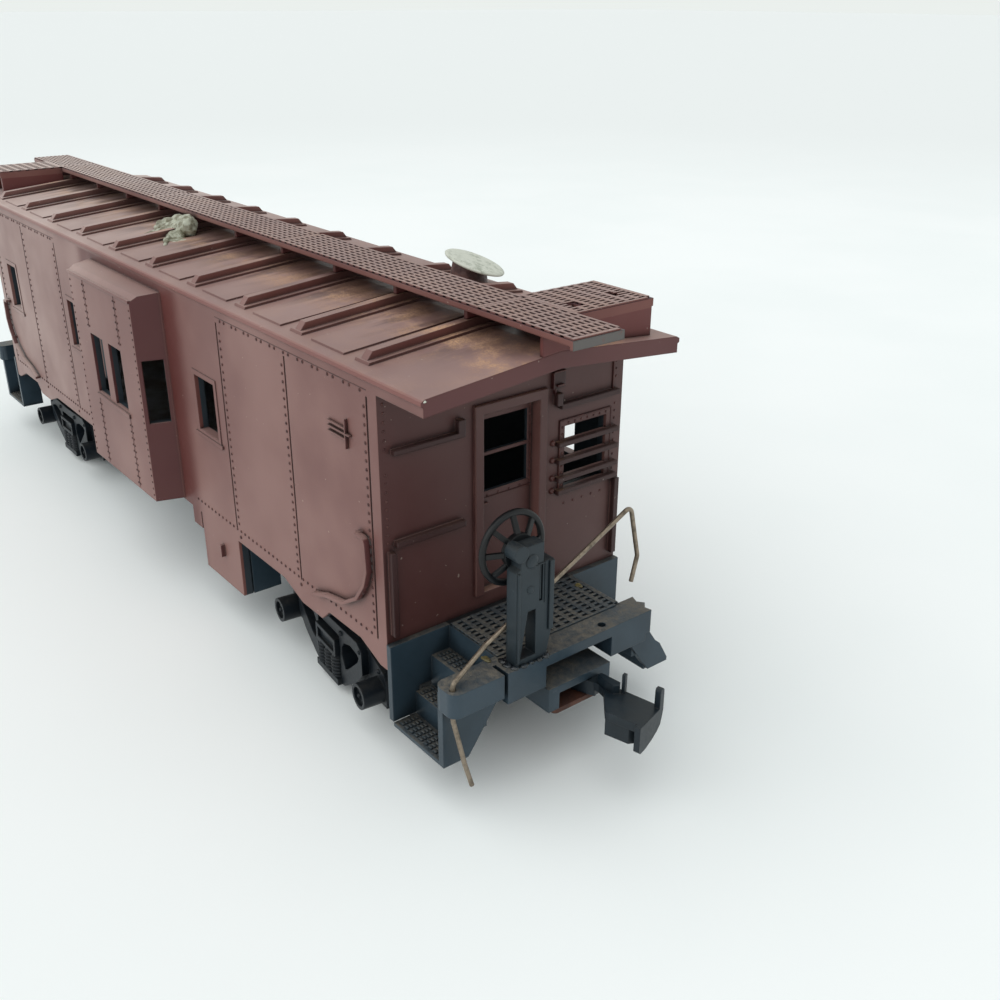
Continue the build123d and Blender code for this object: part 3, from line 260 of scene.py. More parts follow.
def roof_dust_and_walk_shadow(tree, at, colour):
    """The colour with a painted shadow under the walk, and how thick dust lies: most beside the walk."""
    faces_up = put(tree, RANGE, {0: at.up, 1: 0.6, 2: 0.97}, **EASED)
    beside = put(tree, RANGE, {0: at.across, 1: 12.0 * MM, 2: 4.0 * MM, 3: 0.08, 4: 0.95}, **EASED)
    lying = put(tree, MATH, {0: faces_up, 1: beside}, **TIMES)
    on_roof = put(tree, RANGE, {0: at.z, 1: 44 * MM, 2: 46.5 * MM, 3: 0.25})
    lying = put(tree, MATH, {0: lying, 1: on_roof}, **TIMES)
    # towards the near end it is heaped up; right under the walk a painted shadow darkens the colour and
    # thins the dust
    heap = put(tree, RANGE, {0: at.x, 1: 30 * MM, 2: 72 * MM, 3: 0.75, 4: 1.25}, **EASED)
    lying = put(tree, MATH, {0: lying, 1: heap}, **TIMES)
    walk_shadow = fading(tree, 1.0, ((at.across, 6.4, 3.4),), **EASED)
    walk_shadow = fading(tree, walk_shadow, ((at.along, 75.6, 73.0), (at.z, 47.0, 48.0)))
    return stained(tree, colour, walk_shadow, 0.6, "#3E2722"), thinned(tree, lying, walk_shadow, 0.3)


def dark_cabin(tree, at, colour):
    """Inside the cabin and a little way out through the windows the colour turns dark grey-blue."""
    cabin = within(tree, 1.0, ((at.across, BELOW, 17.1), (at.z, BELOW, 47.5)))
    beside_door = within(tree, 1.0, ((at.across, ABOVE, 6.0),))
    depth = put(tree, RANGE, {0: beside_door, 3: 66.5 * MM, 4: 67.4 * MM})
    behind_wall = put(tree, MATH, {0: at.along, 1: depth}, operation=BELOW)
    cabin = put(tree, MATH, {0: cabin, 1: behind_wall}, **TIMES)
    # the windows' ledges are lacquered
    jamb = within(tree, 1.0, ((at.across, ABOVE, 16.4),))
    looks_up = put(tree, MATH, {0: at.up, 1: 0.5}, operation=ABOVE)
    cabin = thinned(tree, cabin, put(tree, MATH, {0: jamb, 1: looks_up}, **TIMES), 0.0)
    # the roof above the ceiling is outside again: it lies within 1.9 mm of its own slope
    slope = put(tree, MATH, {0: at.across, 1: -0.0886, 2: 48.3 * MM}, **SCALED_PLUS)
    under = put(tree, MATH, {0: at.z, 1: slope}, operation=BELOW)
    cabin = put(tree, MATH, {0: cabin, 1: under}, **TIMES)
    # behind the bay's slanting sides, 0.4 mm in from their outer faces
    reach = put(tree, MATH, {0: at.across, 1: -0.3, 2: 18.15 * MM}, **SCALED_PLUS)
    room = put(tree, MATH, {0: at.along, 1: reach}, operation=BELOW)
    room = within(tree, room, ((at.across, BELOW, 21.1), (at.z, BELOW, 44.3), (at.z, ABOVE, 15.6)))
    inside = put(tree, MATH, {0: cabin, 1: room}, **LARGER)
    return stained(tree, colour, inside, 1.0, "#2F373D")


def shaded_holes_and_bare_end(tree, at, colour, fine):
    """The slab is painted dark as shade under the lattice's holes, and its cut end is bare grey plastic."""
    # painted shade on the slab's top down in the lattice's holes
    sunk = within(tree, 1.0, ((at.z, BELOW, WALK_TOP + SKIN), (at.z, ABOVE, WALK_TOP - SKIN)))
    colour = stained(tree, colour, sunk, 1.0, "#45262A")
    cut = within(tree, 1.0, ((at.along, ABOVE, WALK_END - SKIN),))
    scraped = put(tree, RANGE, {0: fine, 1: 0.36, 2: 0.44, 3: 0.55}, **EASED)
    return stained(tree, colour, put(tree, MATH, {0: cut, 1: scraped}, **TIMES), 1.0, "#5E5A57")


def sprayed_lacquer(name, part):
    """Boxcar-brown lacquer sprayed on dark styrene: a soft satin coat with a pale bloom on the flats
    from age and handling and partly painted sheen, redder where the bloom thins, painted shade in places,
    and brown dust beside the walk."""
    material, tree, shader, place = start_material(name)
    at = Spot(tree, place)
    clouds = put(tree, NOISE, {"Vector": place, "Scale": 1 / (24 * MM), "Detail": 3.0, "Roughness": 0.55})
    fine = put(tree, NOISE, {"Vector": place, "Scale": 1 / (2.2 * MM), "Detail": 4.0, "Roughness": 0.6})
    shade = put(tree, RANGE, {0: clouds, 1: 0.35, 2: 0.65}, **EASED)
    colour = put(tree, MIX, {0: shade, 6: linear("#63342F"), 7: linear("#6F3D35")}, **COLOURS)
    bloom_and_sheen = lacquer_bloom_and_sheen(tree, at, clouds, fine, 0.17 if part == "shell" else 0.25)
    tones_and_shade = shell_tones_and_painted_shade if part == "shell" else walk_painted_shade
    colour, bloom_and_sheen = tones_and_shade(tree, at, colour, bloom_and_sheen)
    # the pale bloom over the colour, partly real bloom and partly painted sheen
    colour = stained(tree, colour, bloom_and_sheen, 1.0, "#BEABA4")
    if part == "shell":
        colour = run_down_dirt(tree, at, colour)
    # painted shade in the lacquer's inner corners
    colour = painted_corner_shade(tree, colour, 1.2, "#1C0F0E", 0.8)
    # dust lies on what faces up
    if part == "shell":
        colour, lying = roof_dust_and_walk_shadow(tree, at, colour)
    else:
        lying = put(tree, RANGE, {0: at.up, 1: 0.6, 2: 0.97, 4: 0.14}, **EASED)
    spread = put(tree, NOISE, {"Vector": place, "Scale": 1 / (5.5 * MM), "Detail": 5.0, "Roughness": 0.65})
    # its grains are drawn coarser than real ones, so that they show
    grit = put(tree, NOISE, {"Vector": place, "Scale": 1 / (0.32 * MM), "Detail": 2.0, "Roughness": 0.8})
    patches = put(tree, RANGE, {0: spread, 1: 0.38, 2: 0.66}, **EASED)
    dust = put(tree, MATH, {0: lying, 1: patches}, **TIMES)
    grains = put(tree, RANGE, {0: grit, 1: 0.38, 2: 0.6, 3: 0.45}, **EASED)
    dust = put(tree, MATH, {0: dust, 1: grains}, **TIMES)
    colour = stained(tree, colour, dust, 1.0, "#C49B77")
    motes = put(tree, NOISE, {"Vector": place, "Scale": 1 / (0.6 * MM), "Detail": 1.0})
    motes = put(tree, RANGE, {0: motes, 1: 0.765, 2: 0.80, 4: 0.35}, **EASED)
    colour = stained(tree, colour, motes, 1.0, "#B7A99C")
    if part == "shell":
        colour = dark_cabin(tree, at, colour)
    else:
        colour = shaded_holes_and_bare_end(tree, at, colour, fine)
    shine = put(tree, RANGE, {0: fine, 1: 0.3, 2: 0.7, 3: 0.44, 4: 0.54})
    shine = put(tree, MATH, {0: shine, 1: put(tree, MATH, {0: dust, 1: 0.4}, **TIMES)})
    peel = put(tree, NOISE, {"Vector": place, "Scale": 1 / (0.45 * MM), "Detail": 2.0})
    soft_edge = put(tree, "ShaderNodeBevel", {"Radius": 0.25 * MM}, samples=4)
    skin = put(tree, BUMP, {"Height": peel, "Distance": 0.02 * MM, "Strength": 0.25, "Normal": soft_edge})
    heaped = put(tree, MATH, {0: dust, 1: grit}, **TIMES)
    skin = put(tree, BUMP, {"Height": heaped, "Distance": 0.12 * MM, "Strength": 0.8, "Normal": skin})
    feed(tree, shader, {"Base Color": colour, "Roughness": shine, "Normal": skin,
                        "Specular IOR Level": 0.38})
    return material


def rubbed_lacquer():
    """The same lacquer on rivets and thin raised trim, where the bloom is rubbed off: dark wet
    red against the dull flats, with a brighter glint."""
    material, tree, shader, place = start_material("boxcar_brown_lacquer_rubbed")
    wear = put(tree, NOISE, {"Vector": place, "Scale": 1 / (3.0 * MM), "Detail": 3.0})
    wear = put(tree, RANGE, {0: wear, 1: 0.35, 2: 0.65}, **EASED)
    colour = put(tree, MIX, {0: wear, 6: linear("#3C1A19"), 7: linear("#52302B")}, **COLOURS)
    skin = put(tree, NOISE, {"Vector": place, "Scale": 1 / (0.3 * MM), "Detail": 2.0})
    skin = put(tree, BUMP, {"Height": skin, "Distance": 0.015 * MM, "Strength": 0.3})
    feed(tree, shader, {"Base Color": colour, "Roughness": 0.38, "Normal": skin,
                        "Specular IOR Level": 0.35})
    return material


# Black styrene of the frame, trucks, stands, wheels and couplers

def moulded_styrene(name, base, deep, dusty, roughness, gloss, sunk=None):
    """Black-blue styrene straight from the mould: smooth satin faces with faint flow marks, and
    grey-brown dust on the faces that look up. sunk is a height whose faces lie under a lattice; there they
    get painted shade and little dust."""
    material, tree, shader, place = start_material(name)
    up = put(tree, SPLIT, {0: put(tree, "ShaderNodeNewGeometry", out="Normal")}, out="Z")
    flow = put(tree, NOISE, {"Vector": place, "Scale": 1 / (7 * MM), "Detail": 3.0})
    flow = put(tree, RANGE, {0: flow, 1: 0.35, 2: 0.65}, **EASED)
    colour = put(tree, MIX, {0: flow, 6: linear(deep), 7: linear(base)}, **COLOURS)
    scuff = put(tree, NOISE, {"Vector": place, "Scale": 1 / (1.6 * MM), "Detail": 6.0, "Roughness": 0.75})
    scuff = put(tree, RANGE, {0: scuff, 1: 0.62, 2: 0.74, 4: 0.12}, **EASED)
    colour = stained(tree, colour, scuff, 1.0, "#7F858A")
    fine = put(tree, NOISE, {"Vector": place, "Scale": 1 / (0.6 * MM), "Detail": 4.0, "Roughness": 0.7})
    spread = put(tree, NOISE, {"Vector": place, "Scale": 1 / (4.5 * MM), "Detail": 5.0, "Roughness": 0.6})
    lying = put(tree, RANGE, {0: up, 1: 0.5, 2: 0.95, 3: 0.02, 4: dusty}, **EASED)
    spread = put(tree, RANGE, {0: spread, 1: 0.34, 2: 0.62, 3: 0.35}, **EASED)
    dust = put(tree, MATH, {0: lying, 1: spread}, **TIMES)
    grains = put(tree, RANGE, {0: fine, 1: 0.35, 2: 0.62, 3: 0.4}, **EASED)
    dust = put(tree, MATH, {0: dust, 1: grains}, **TIMES)
    if sunk is not None:
        x, y, z = [put(tree, SPLIT, {0: place}, out=axis) for axis in "XYZ"]
        along = put(tree, MATH, {0: x}, **UNSIGNED)
        across = put(tree, MATH, {0: y}, **UNSIGNED)
        # painted shade on the deck's faces down in the lattice's holes
        hole_shade = within(tree, 1.0, ((z, ABOVE, sunk - SKIN), (z, BELOW, sunk + SKIN),
                                  (along, BELOW, DECK_END), (across, BELOW, DECK_HALF)))
        colour = stained(tree, colour, hole_shade, 1.0, "#171D21")
        dust = thinned(tree, dust, hole_shade, 0.15)
    colour = stained(tree, colour, dust, 1.0, "#7C7466")
    # painted shade in the styrene's inner corners
    colour = painted_corner_shade(tree, colour, 2.5, "#0A1014", 0.7)
    shine = put(tree, RANGE, {0: fine, 1: 0.3, 2: 0.7, 3: roughness - 0.06, 4: roughness + 0.06})
    shine = put(tree, MATH, {0: shine, 1: put(tree, MATH, {0: dust, 1: 0.5}, **TIMES)})
    skin = put(tree, NOISE, {"Vector": place, "Scale": 1 / (0.5 * MM), "Detail": 2.0})
    soft_edge = put(tree, "ShaderNodeBevel", {"Radius": 0.18 * MM}, samples=4)
    skin = put(tree, BUMP, {"Height": skin, "Distance": 0.02 * MM, "Strength": 0.3, "Normal": soft_edge})
    heaped = put(tree, MATH, {0: dust, 1: fine}, **TIMES)
    skin = put(tree, BUMP, {"Height": heaped, "Distance": 0.15 * MM, "Strength": 0.9, "Normal": skin})
    feed(tree, shader, {"Base Color": colour, "Roughness": shine, "Normal": skin,
                        "Specular IOR Level": gloss})
    return material


# Metal of the axles, screws, weight, clips and railings

def dulled_metal(name, bright, dark, roughness, metallic, spot_size, spot_from):
    """Metal with a dulled skin: blotches of tarnish or rust, rougher and less metallic than the
    greyer ground between them."""
    material, tree, shader, place = start_material(name)
    blotch = put(tree, NOISE, {"Vector": place, "Scale": 1 / (spot_size * MM), "Detail": 5.0,
                               "Roughness": 0.7})
    blotch = put(tree, RANGE, {0: blotch, 1: spot_from, 2: spot_from + 0.25}, **EASED)
    pits = put(tree, NOISE, {"Vector": place, "Scale": 3 / (spot_size * MM), "Detail": 4.0})
    feed(tree, shader, {
        "Base Color": put(tree, MIX, {0: blotch, 6: linear(bright), 7: linear(dark)}, **COLOURS),
        "Roughness": put(tree, RANGE, {0: blotch, 3: roughness, 4: roughness + 0.2}),
        "Metallic": put(tree, RANGE, {0: blotch, 3: metallic, 4: metallic * 0.35}),
        "Normal": put(tree, BUMP, {"Height": pits, "Distance": 0.03 * MM, "Strength": 0.6}),
    })
    return material


# Glue and the stray disc

def hardened_glue(name, pale, stain, roughness):
    """Old contact glue: a lumpy skin gone cloudy, pale in patches and stained between them."""
    material, tree, shader, place = start_material(name)
    patches = put(tree, NOISE, {"Vector": place, "Scale": 1 / (1.6 * MM), "Detail": 5.0, "Roughness": 0.65})
    patches = put(tree, RANGE, {0: patches, 1: 0.40, 2: 0.60}, **EASED)
    lumps = put(tree, NOISE, {"Vector": place, "Scale": 1 / (0.7 * MM), "Detail": 4.0, "Roughness": 0.6})
    feed(tree, shader, {
        "Base Color": put(tree, MIX, {0: patches, 6: linear(stain), 7: linear(pale)}, **COLOURS),
        "Roughness": roughness,
        "Normal": put(tree, BUMP, {"Height": lumps, "Distance": 0.2 * MM, "Strength": 0.8}),
        "Subsurface Weight": 0.15,
        "Subsurface Radius": (1.0 * MM, 0.8 * MM, 0.6 * MM),
    })
    return material


def clouded_disc():
    """A moulded clear disc gone milky: chalky white with green-grey clouds where glue has eaten
    into its face."""
    material, tree, shader, place = start_material("milky_moulded_disc")
    pits = put(tree, NOISE, {"Vector": place, "Scale": 1 / (1.0 * MM), "Detail": 5.0, "Roughness": 0.75})
    wide = put(tree, NOISE, {"Vector": place, "Scale": 1 / (3.4 * MM), "Detail": 2.0})
    clouds = put(tree, MATH, {0: put(tree, RANGE, {0: pits, 1: 0.45, 2: 0.60, 4: 0.6}, **EASED),
                              1: put(tree, RANGE, {0: wide, 1: 0.42, 2: 0.60, 3: 0.15}, **EASED)}, **TIMES)
    feed(tree, shader, {
        "Base Color": put(tree, MIX, {0: clouds, 6: linear("#C9CCBE"), 7: linear("#77806A")}, **COLOURS),
        "Roughness": 0.5,
        "Normal": put(tree, BUMP, {"Height": pits, "Distance": 0.15 * MM, "Strength": 0.7}),
    })
    return material


# Each node's finish

shell_lacquer = sprayed_lacquer("boxcar_brown_lacquer_shell", "shell")
walk_lacquer = sprayed_lacquer("boxcar_brown_lacquer_walk", "walk")
rubbed = rubbed_lacquer()
frame_styrene = moulded_styrene("black_styrene_frame", "#31414C", "#283741", 0.72, 0.36, 0.35, DECK_TOP)
stand_styrene = moulded_styrene("black_styrene_stand", "#212D34", "#18232A", 0.14, 0.40, 0.35)
truck_styrene = moulded_styrene("black_styrene_truck", "#121B23", "#0C131A", 0.12, 0.40, 0.25)
wheel_styrene = moulded_styrene("black_styrene_wheel", "#0F1215", "#0A0C0E", 0.08, 0.36, 0.25)
rim_styrene = moulded_styrene("black_styrene_brake_wheel", "#0F1216", "#0A0C0F", 0.03, 0.38, 0.3)
coupler_styrene = moulded_styrene("black_styrene_coupler", "#17242D", "#101B22", 0.05, 0.38, 0.35)
axle_steel = dulled_metal("turned_steel_axle", "#8C8E90", "#5F5A54", 0.32, 1.0, 2.0, 0.4)
screw_steel = dulled_metal("plated_steel_screw", "#9A9A98", "#6A655D", 0.30, 1.0, 1.2, 0.4)
plate_steel = dulled_metal("rolled_steel_weight", "#7C7C7C", "#5A4C42", 0.45, 1.0, 8.0, 0.4)
clip_steel = dulled_metal("rusted_steel_clip", "#5E3C2F", "#40271F", 0.55, 0.4, 1.5, 0.35)
wire_steel = dulled_metal("dulled_steel_wire", "#8F8273", "#5F5547", 0.34, 0.85, 1.2, 0.42)
roof_glue = hardened_glue("clouded_glue_roof", "#B2B5A2", "#6C6852", 0.5)
stain_glue = hardened_glue("yellowed_glue_stand", "#8F8350", "#5A5234", 0.45)
dark_glue = hardened_glue("black_stained_glue", "#232A30", "#101417", 0.16)
pad_glue = hardened_glue("browned_glue_pad", "#6B4A44", "#4A2E2B", 0.5)
disc_skin = clouded_disc()

NODE_FINISH = {
    "body_shell": shell_lacquer, "roof_walk": walk_lacquer, "glue_blob": roof_glue,
    "disc_glue": pad_glue, "roof_disc": disc_skin, "underframe": frame_styrene,
    "floor_weight": plate_steel,
}
for end in ("near", "far"):
    NODE_FINISH.update({
        "brake_stand_" + end: stand_styrene, "brake_wheel_" + end: rim_styrene,
        "railing_" + end: wire_steel, "truck_frame_" + end: truck_styrene,
        "truck_screw_" + end: screw_steel, "coupler_" + end: coupler_styrene,
        "coupler_cover_" + end: clip_steel,
    })
    for number in ("1", "2"):
        NODE_FINISH["axle_" + end + number] = axle_steel
        NODE_FINISH["wheels_" + end + number] = wheel_styrene
for name, finish in NODE_FINISH.items():
    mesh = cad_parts[name].data
    mesh.materials.clear()
    mesh.materials.append(finish)


# Small pieces gathered into one mesh

def bands(rings, sides, first=0):
    """Four-sided faces between rings of points, each ring with the next."""
    return [(base + k, base + (k + 1) % sides, base + sides + (k + 1) % sides, base + sides + k)
            for base in range(first, first + (rings - 1) * sides, sides) for k in range(sides)]


class Heap:
    """Corners and faces of many like pieces, in millimetres, that become one mesh."""

    def __init__(self):
        self.points = []
        self.faces = []

    def add(self, points, faces, place=None):
        first = len(self.points)
        self.points += [place @ Vector(p) for p in points] if place else [Vector(p) for p in points]
        self.faces += [[first + i for i in face] for face in faces]

    def block(self, low, high, place=None):
        """A straight-sided bar between two corners."""
        xs, ys, zs = zip(low, high)
        corners = [(xs[i & 1], ys[i >> 1 & 1], zs[i >> 2]) for i in range(8)]
        sides = [(0, 2, 3, 1), (4, 5, 7, 6), (0, 1, 5, 4), (2, 6, 7, 3), (0, 4, 6, 2), (1, 3, 7, 5)]
        self.add(corners, sides, place)

    def dome(self, at, out, radius, height, place=None, sides=8):
        """A rivet head at a point, standing out along the direction out."""
        turn = Vector(out).to_track_quat("Z", "Y").to_matrix()
        points = []
        for share, level in ((1.0, -0.15), (0.95, 0.35), (0.6, 0.85)):
            for k in range(sides):
                a = 2 * pi * k / sides
                r = radius * share
                points.append(Vector(at) + turn @ Vector((r * cos(a), r * sin(a), height * level)))
        points.append(Vector(at) + turn @ Vector((0, 0, height)))
        faces = bands(3, sides)
        faces += [(2 * sides + k, 2 * sides + (k + 1) % sides, 3 * sides) for k in range(sides)]
        self.add(points, faces, place)

    def ring(self, centre, radius, thickness, place=None, sides=16, around=6):
        """A flat-lying hoop of round wire."""
        points = []
        for i in range(sides):
            a = 2 * pi * i / sides
            for j in range(around):
                b = 2 * pi * j / around
                r = radius + thickness * cos(b)
                points.append((centre[0] + r * cos(a), centre[1] + r * sin(a),
                               centre[2] + thickness * sin(b)))
        faces = []
        for i in range(sides):
            here, on = i * around, (i + 1) % sides * around
            faces += [(here + j, on + j, on + (j + 1) % around, here + (j + 1) % around)
                      for j in range(around)]
        self.add(points, faces, place)

    def lump(self, at, size, seed, place=None, rings=5, sides=9):
        """A bead of glue or grit, pulled out of round."""
        points = [(at[0], at[1], at[2] - size[2])]
        for i in range(1, rings):
            p = pi * i / rings
            for k in range(sides):
                a = 2 * pi * k / sides
                r = 1 + 0.22 * sin(3 * a + seed) * sin(2.3 * p + seed * 1.7)
                points.append((at[0] + size[0] * r * sin(p) * cos(a),
                               at[1] + size[1] * r * sin(p) * sin(a),
                               at[2] - size[2] * r * cos(p)))
        points.append((at[0], at[1], at[2] + size[2]))
        faces = [(0, 1 + (k + 1) % sides, 1 + k) for k in range(sides)]
        faces += bands(rings - 1, sides, 1)
        base, top = 1 + (rings - 2) * sides, 1 + (rings - 1) * sides
        faces += [(base + k, base + (k + 1) % sides, top) for k in range(sides)]
        self.add(points, faces, place)

    def build(self, name, finish, body, smooth=False, edge=0.0):
        """The gathered pieces as one mesh that rides on a body; edge rounds the corners of bars."""
        mesh = bpy.data.meshes.new(name)
        mesh.from_pydata([p * MM for p in self.points], [], self.faces)
        mesh.validate()
        mesh.materials.append(finish)
        piece = bpy.data.objects.new(name, mesh)
        bpy.context.scene.collection.objects.link(piece)
        if smooth:
            mesh.polygons.foreach_set("use_smooth", [True] * len(mesh.polygons))
        if edge:
            rounding = piece.modifiers.new("worn_edges", "BEVEL")
            rounding.width = edge * MM
            rounding.segments = 1
        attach(piece, body)
        return piece


def steps(first, last, pitch):
    """Evenly pitched places from first towards last."""
    count = int(abs(last - first) / pitch + 1e-6) + 1
    way = 1 if last > first else -1
    return [first + way * pitch * k for k in range(count)]


# Rivets of the walls

# radius and height of each kind
SIDE_RIVET = (0.21, 0.13)
SINGLE_RIVET = (0.27, 0.16)
BAY_RIVET = (0.18, 0.11)
END_RIVET = (0.17, 0.11)
END_BOLT = (0.42, 0.35)
# rows on half a side, the other half being its mirror: first x, first z, last x, last z, pitch
SIDE_ROWS = (
    (65.2, 17.6, 65.2, 45.0, 1.02),
    (47.6, 17.6, 47.6, 45.0, 1.02),
    (31.35, 17.6, 31.35, 45.0, 1.02),
    (18.2, 16.55, 65.4, 16.55, 1.13),
    (31.9, 45.75, 64.7, 45.75, 3.27),
    (33.05, 45.75, 64.7, 45.75, 3.27),
)
SIDE_SINGLES = ((31.5, 15.6), (48.1, 15.6))
# the columns beside the bay's windows stand in pairs round a sheet joint
BAY_ROWS = (
    (11.6, 15.9, 11.6, 44.0, 1.02),
    (6.5, 15.9, 6.5, 26.0, 1.02),
    (6.5, 37.5, 6.5, 44.0, 1.02),
    (5.75, 15.9, 5.75, 26.0, 1.02),
    (5.75, 37.5, 5.75, 44.0, 1.02),
)
FRAME_X = 67.85        # raised frame of the end window
# rows on the end wall: x, first y, first z, last y, last z, pitch
END_ROWS = (
    (END_X, -16.8, 39.9, -16.8, 45.6, 1.0),
    (END_X, -16.8, 18.0, -16.8, 37.5, 1.0),
    (END_X, 16.4, 29.2, 16.4, 38.2, 0.95),
    (END_X, 16.4, 41.2, 16.4, 45.4, 0.95),
    (FRAME_X, 7.85, 28.4, 7.85, 37.0, 0.82),
    (FRAME_X, 8.8, 37.05, 15.3, 37.05, 1.0),
    (END_X, 8.5, 26.6, 14.5, 26.6, 1.5),
    (DOOR_X, -3.55, 30.9, -3.55, 40.3, 1.15),
    (DOOR_X, 3.8, 30.9, 3.8, 40.3, 1.15),
    (DOOR_X, -2.4, 30.3, 2.9, 30.3, 1.6),
    (DOOR_X, -2.4, 40.35, 2.9, 40.35, 1.6),
)
END_BOLTS = ((6.45, 34.9), (6.45, 32.7), (6.45, 30.4), (6.45, 28.75))


def row_points(x0, z0, x1, z1, pitch):
    """Places along one row, given by its two ends."""
    length = ((x1 - x0) ** 2 + (z1 - z0) ** 2) ** 0.5
    return [(x0 + (x1 - x0) * t / length, z0 + (z1 - z0) * t / length)
            for t in steps(0, length, pitch)]


rivets = Heap()
for _, turned in ENDS:
    for half in (1, -1):
        for row in SIDE_ROWS:
            for x, z in row_points(*row):
                rivets.dome((half * x, -SIDE_Y, z), (0, -1, 0), *SIDE_RIVET, turned)
        for x, z in SIDE_SINGLES:
            rivets.dome((half * x, -SIDE_Y, z), (0, -1, 0), *SINGLE_RIVET, turned)
        for row in BAY_ROWS:
            for x, z in row_points(*row):
                rivets.dome((half * x, -BAY_Y, z), (0, -1, 0), *BAY_RIVET, turned)
    for x, y0, z0, y1, z1, pitch in END_ROWS:
        for y, z in row_points(y0, z0, y1, z1, pitch):
            rivets.dome((x, y, z), (1, 0, 0), *END_RIVET, turned)
    for y, z in END_BOLTS:
        rivets.dome((END_X, y, z), (1, 0, 0), *END_BOLT, turned)
rivets.build("wall_rivets", rubbed, "body", smooth=True)


# Thin trim of the walls: card holder, sheet joints, door and window hardware

# bars as their low and high corners
CARD_HOLDER = (
    # three slats, an upright and a cross bar
    ((57.8, -SIDE_Y - 0.35, 39.25), (61.6, -SIDE_Y, 39.45)),
    ((57.8, -SIDE_Y - 0.35, 39.85), (61.6, -SIDE_Y, 40.05)),
    ((57.8, -SIDE_Y - 0.35, 40.45), (61.6, -SIDE_Y, 40.65)),
    ((61.55, -SIDE_Y - 0.4, 38.3), (61.75, -SIDE_Y, 41.7)),
    ((60.9, -SIDE_Y - 0.45, 39.95), (62.6, -SIDE_Y, 40.1)),
)
SHEET_JOINTS = (
    # between the bay's paired rivets, under and over its windows
    ((6.09, -BAY_Y - 0.05, 15.3), (6.17, -BAY_Y, 26.3)),
    ((6.09, -BAY_Y - 0.05, 37.2), (6.17, -BAY_Y, 44.5)),
    ((-6.17, -BAY_Y - 0.05, 15.3), (-6.09, -BAY_Y, 26.3)),
    ((-6.17, -BAY_Y - 0.05, 37.2), (-6.09, -BAY_Y, 44.5)),
    # lap along the top of the side
    ((30.5, -SIDE_Y - 0.04, 46.0), (65.8, -SIDE_Y, 46.1)),
    ((-65.8, -SIDE_Y - 0.04, 46.0), (-30.5, -SIDE_Y, 46.1)),
)
DOOR_BARS = (
    # sash strips round the panes
    ((66.5, -3.52, 30.3), (66.72, -3.4, 40.6)),
    ((66.5, 3.83, 30.3), (66.72, 3.95, 40.6)),
    ((66.5, -3.5, 30.0), (66.72, 3.95, 30.12)),
    ((66.5, -3.5, 40.6), (66.72, 3.95, 40.72)),
    # latch plate and lever
    ((66.5, -3.9, 28.6), (66.85, -3.55, 29.8)),
    ((66.5, -3.6, 29.35), (66.95, -2.5, 29.55)),
    # thin line round the doorway
    ((67.6, -5.31, 18.4), (67.82, -5.19, 42.1)),
    ((67.6, 5.19, 18.4), (67.82, 5.31, 42.1)),
    ((67.6, -5.3, 42.05), (67.82, 5.3, 42.17)),
)
END_WALL_BARS = (
    # number box beside the door top: its rim and the rod below it
    ((67.6, 6.0, 41.7), (68.2, 6.15, 43.8)),
    ((67.6, 6.0, 43.65), (68.2, 7.9, 43.8)),
    ((67.6, 6.5, 42.0), (68.4, 7.5, 42.25)),
    ((67.6, 6.35, 41.0), (68.1, 6.6, 41.8)),
    # upright behind the side rail, beside the ladder
    ((67.6, 15.75, 39.6), (67.9, 16.0, 45.5)),
    # thin line round the end window
    ((67.6, 7.39, 27.9), (67.9, 7.51, 37.5)),
    ((67.6, 15.59, 27.9), (67.9, 15.71, 37.5)),
    ((67.6, 7.4, 37.42), (67.9, 15.7, 37.54)),
    ((67.6, 7.4, 27.85), (67.9, 15.7, 27.97)),
)
card_slats = Heap()
trim = Heap()
for _, turned in ENDS:
    for low, high in CARD_HOLDER:
        card_slats.block(low, high, turned)
    for low, high in SHEET_JOINTS + DOOR_BARS + END_WALL_BARS:
        trim.block(low, high, turned)
card_slats.build("card_holder", shell_lacquer, "body", edge=0.03)
trim.build("wall_trim", rubbed, "body", edge=0.02)


# Gratings of the roof walk, its side boards and the platforms

GRATING_ROOT = 0.05    # how far the bars reach into the slab that carries them
GRATING_RISE = 0.2     # and how high they stand above it


def grating(heap, low, high, pitch, hole_shade, slab_top, place, broken=()):
    """Bars round a grid of oblong holes between two corners. pitch and hole are pairs along X and
    along Y; broken lists spots x, y, reach where the bars are missing."""
    z0, z1 = slab_top - GRATING_ROOT, slab_top + GRATING_RISE
    bar = [p - h for p, h in zip(pitch, hole_shade)]
    count = [max(1, round((b - a - w) / p)) for a, b, w, p in zip(low, high, bar, pitch)]
    step = [(b - a - w) / n for a, b, w, n in zip(low, high, bar, count)]
    for i in range(count[0] + 1):
        for j in range(count[1] + 1):
            x, y = low[0] + i * step[0], low[1] + j * step[1]
            # one bar along Y, a little lower, and one along X leave from each crossing
            for end_x, end_y, level in ((x + bar[0], y + step[1], z1 - 0.02),
                                        (x + step[0], y + bar[1], z1)):
                if end_x > high[0] + 0.01 or end_y > high[1] + 0.01:
                    continue
                mid_x, mid_y = (x + end_x) / 2, (y + end_y) / 2
                if all((mid_x - spot_x) ** 2 + (mid_y - spot_y) ** 2 > reach ** 2
                       for spot_x, spot_y, reach in broken):
                    heap.block((x, y, z0), (end_x, end_y, level), place)


# pitch and hole along X and Y
WALK_GRID = ((1.46, 0.785), (0.92, 0.40))
BOARD_GRID = ((0.73, 1.6), (0.36, 1.0))
DECK_GRID = ((0.86, 1.42), (0.42, 0.74))
LATTICE_HALF = 3.35
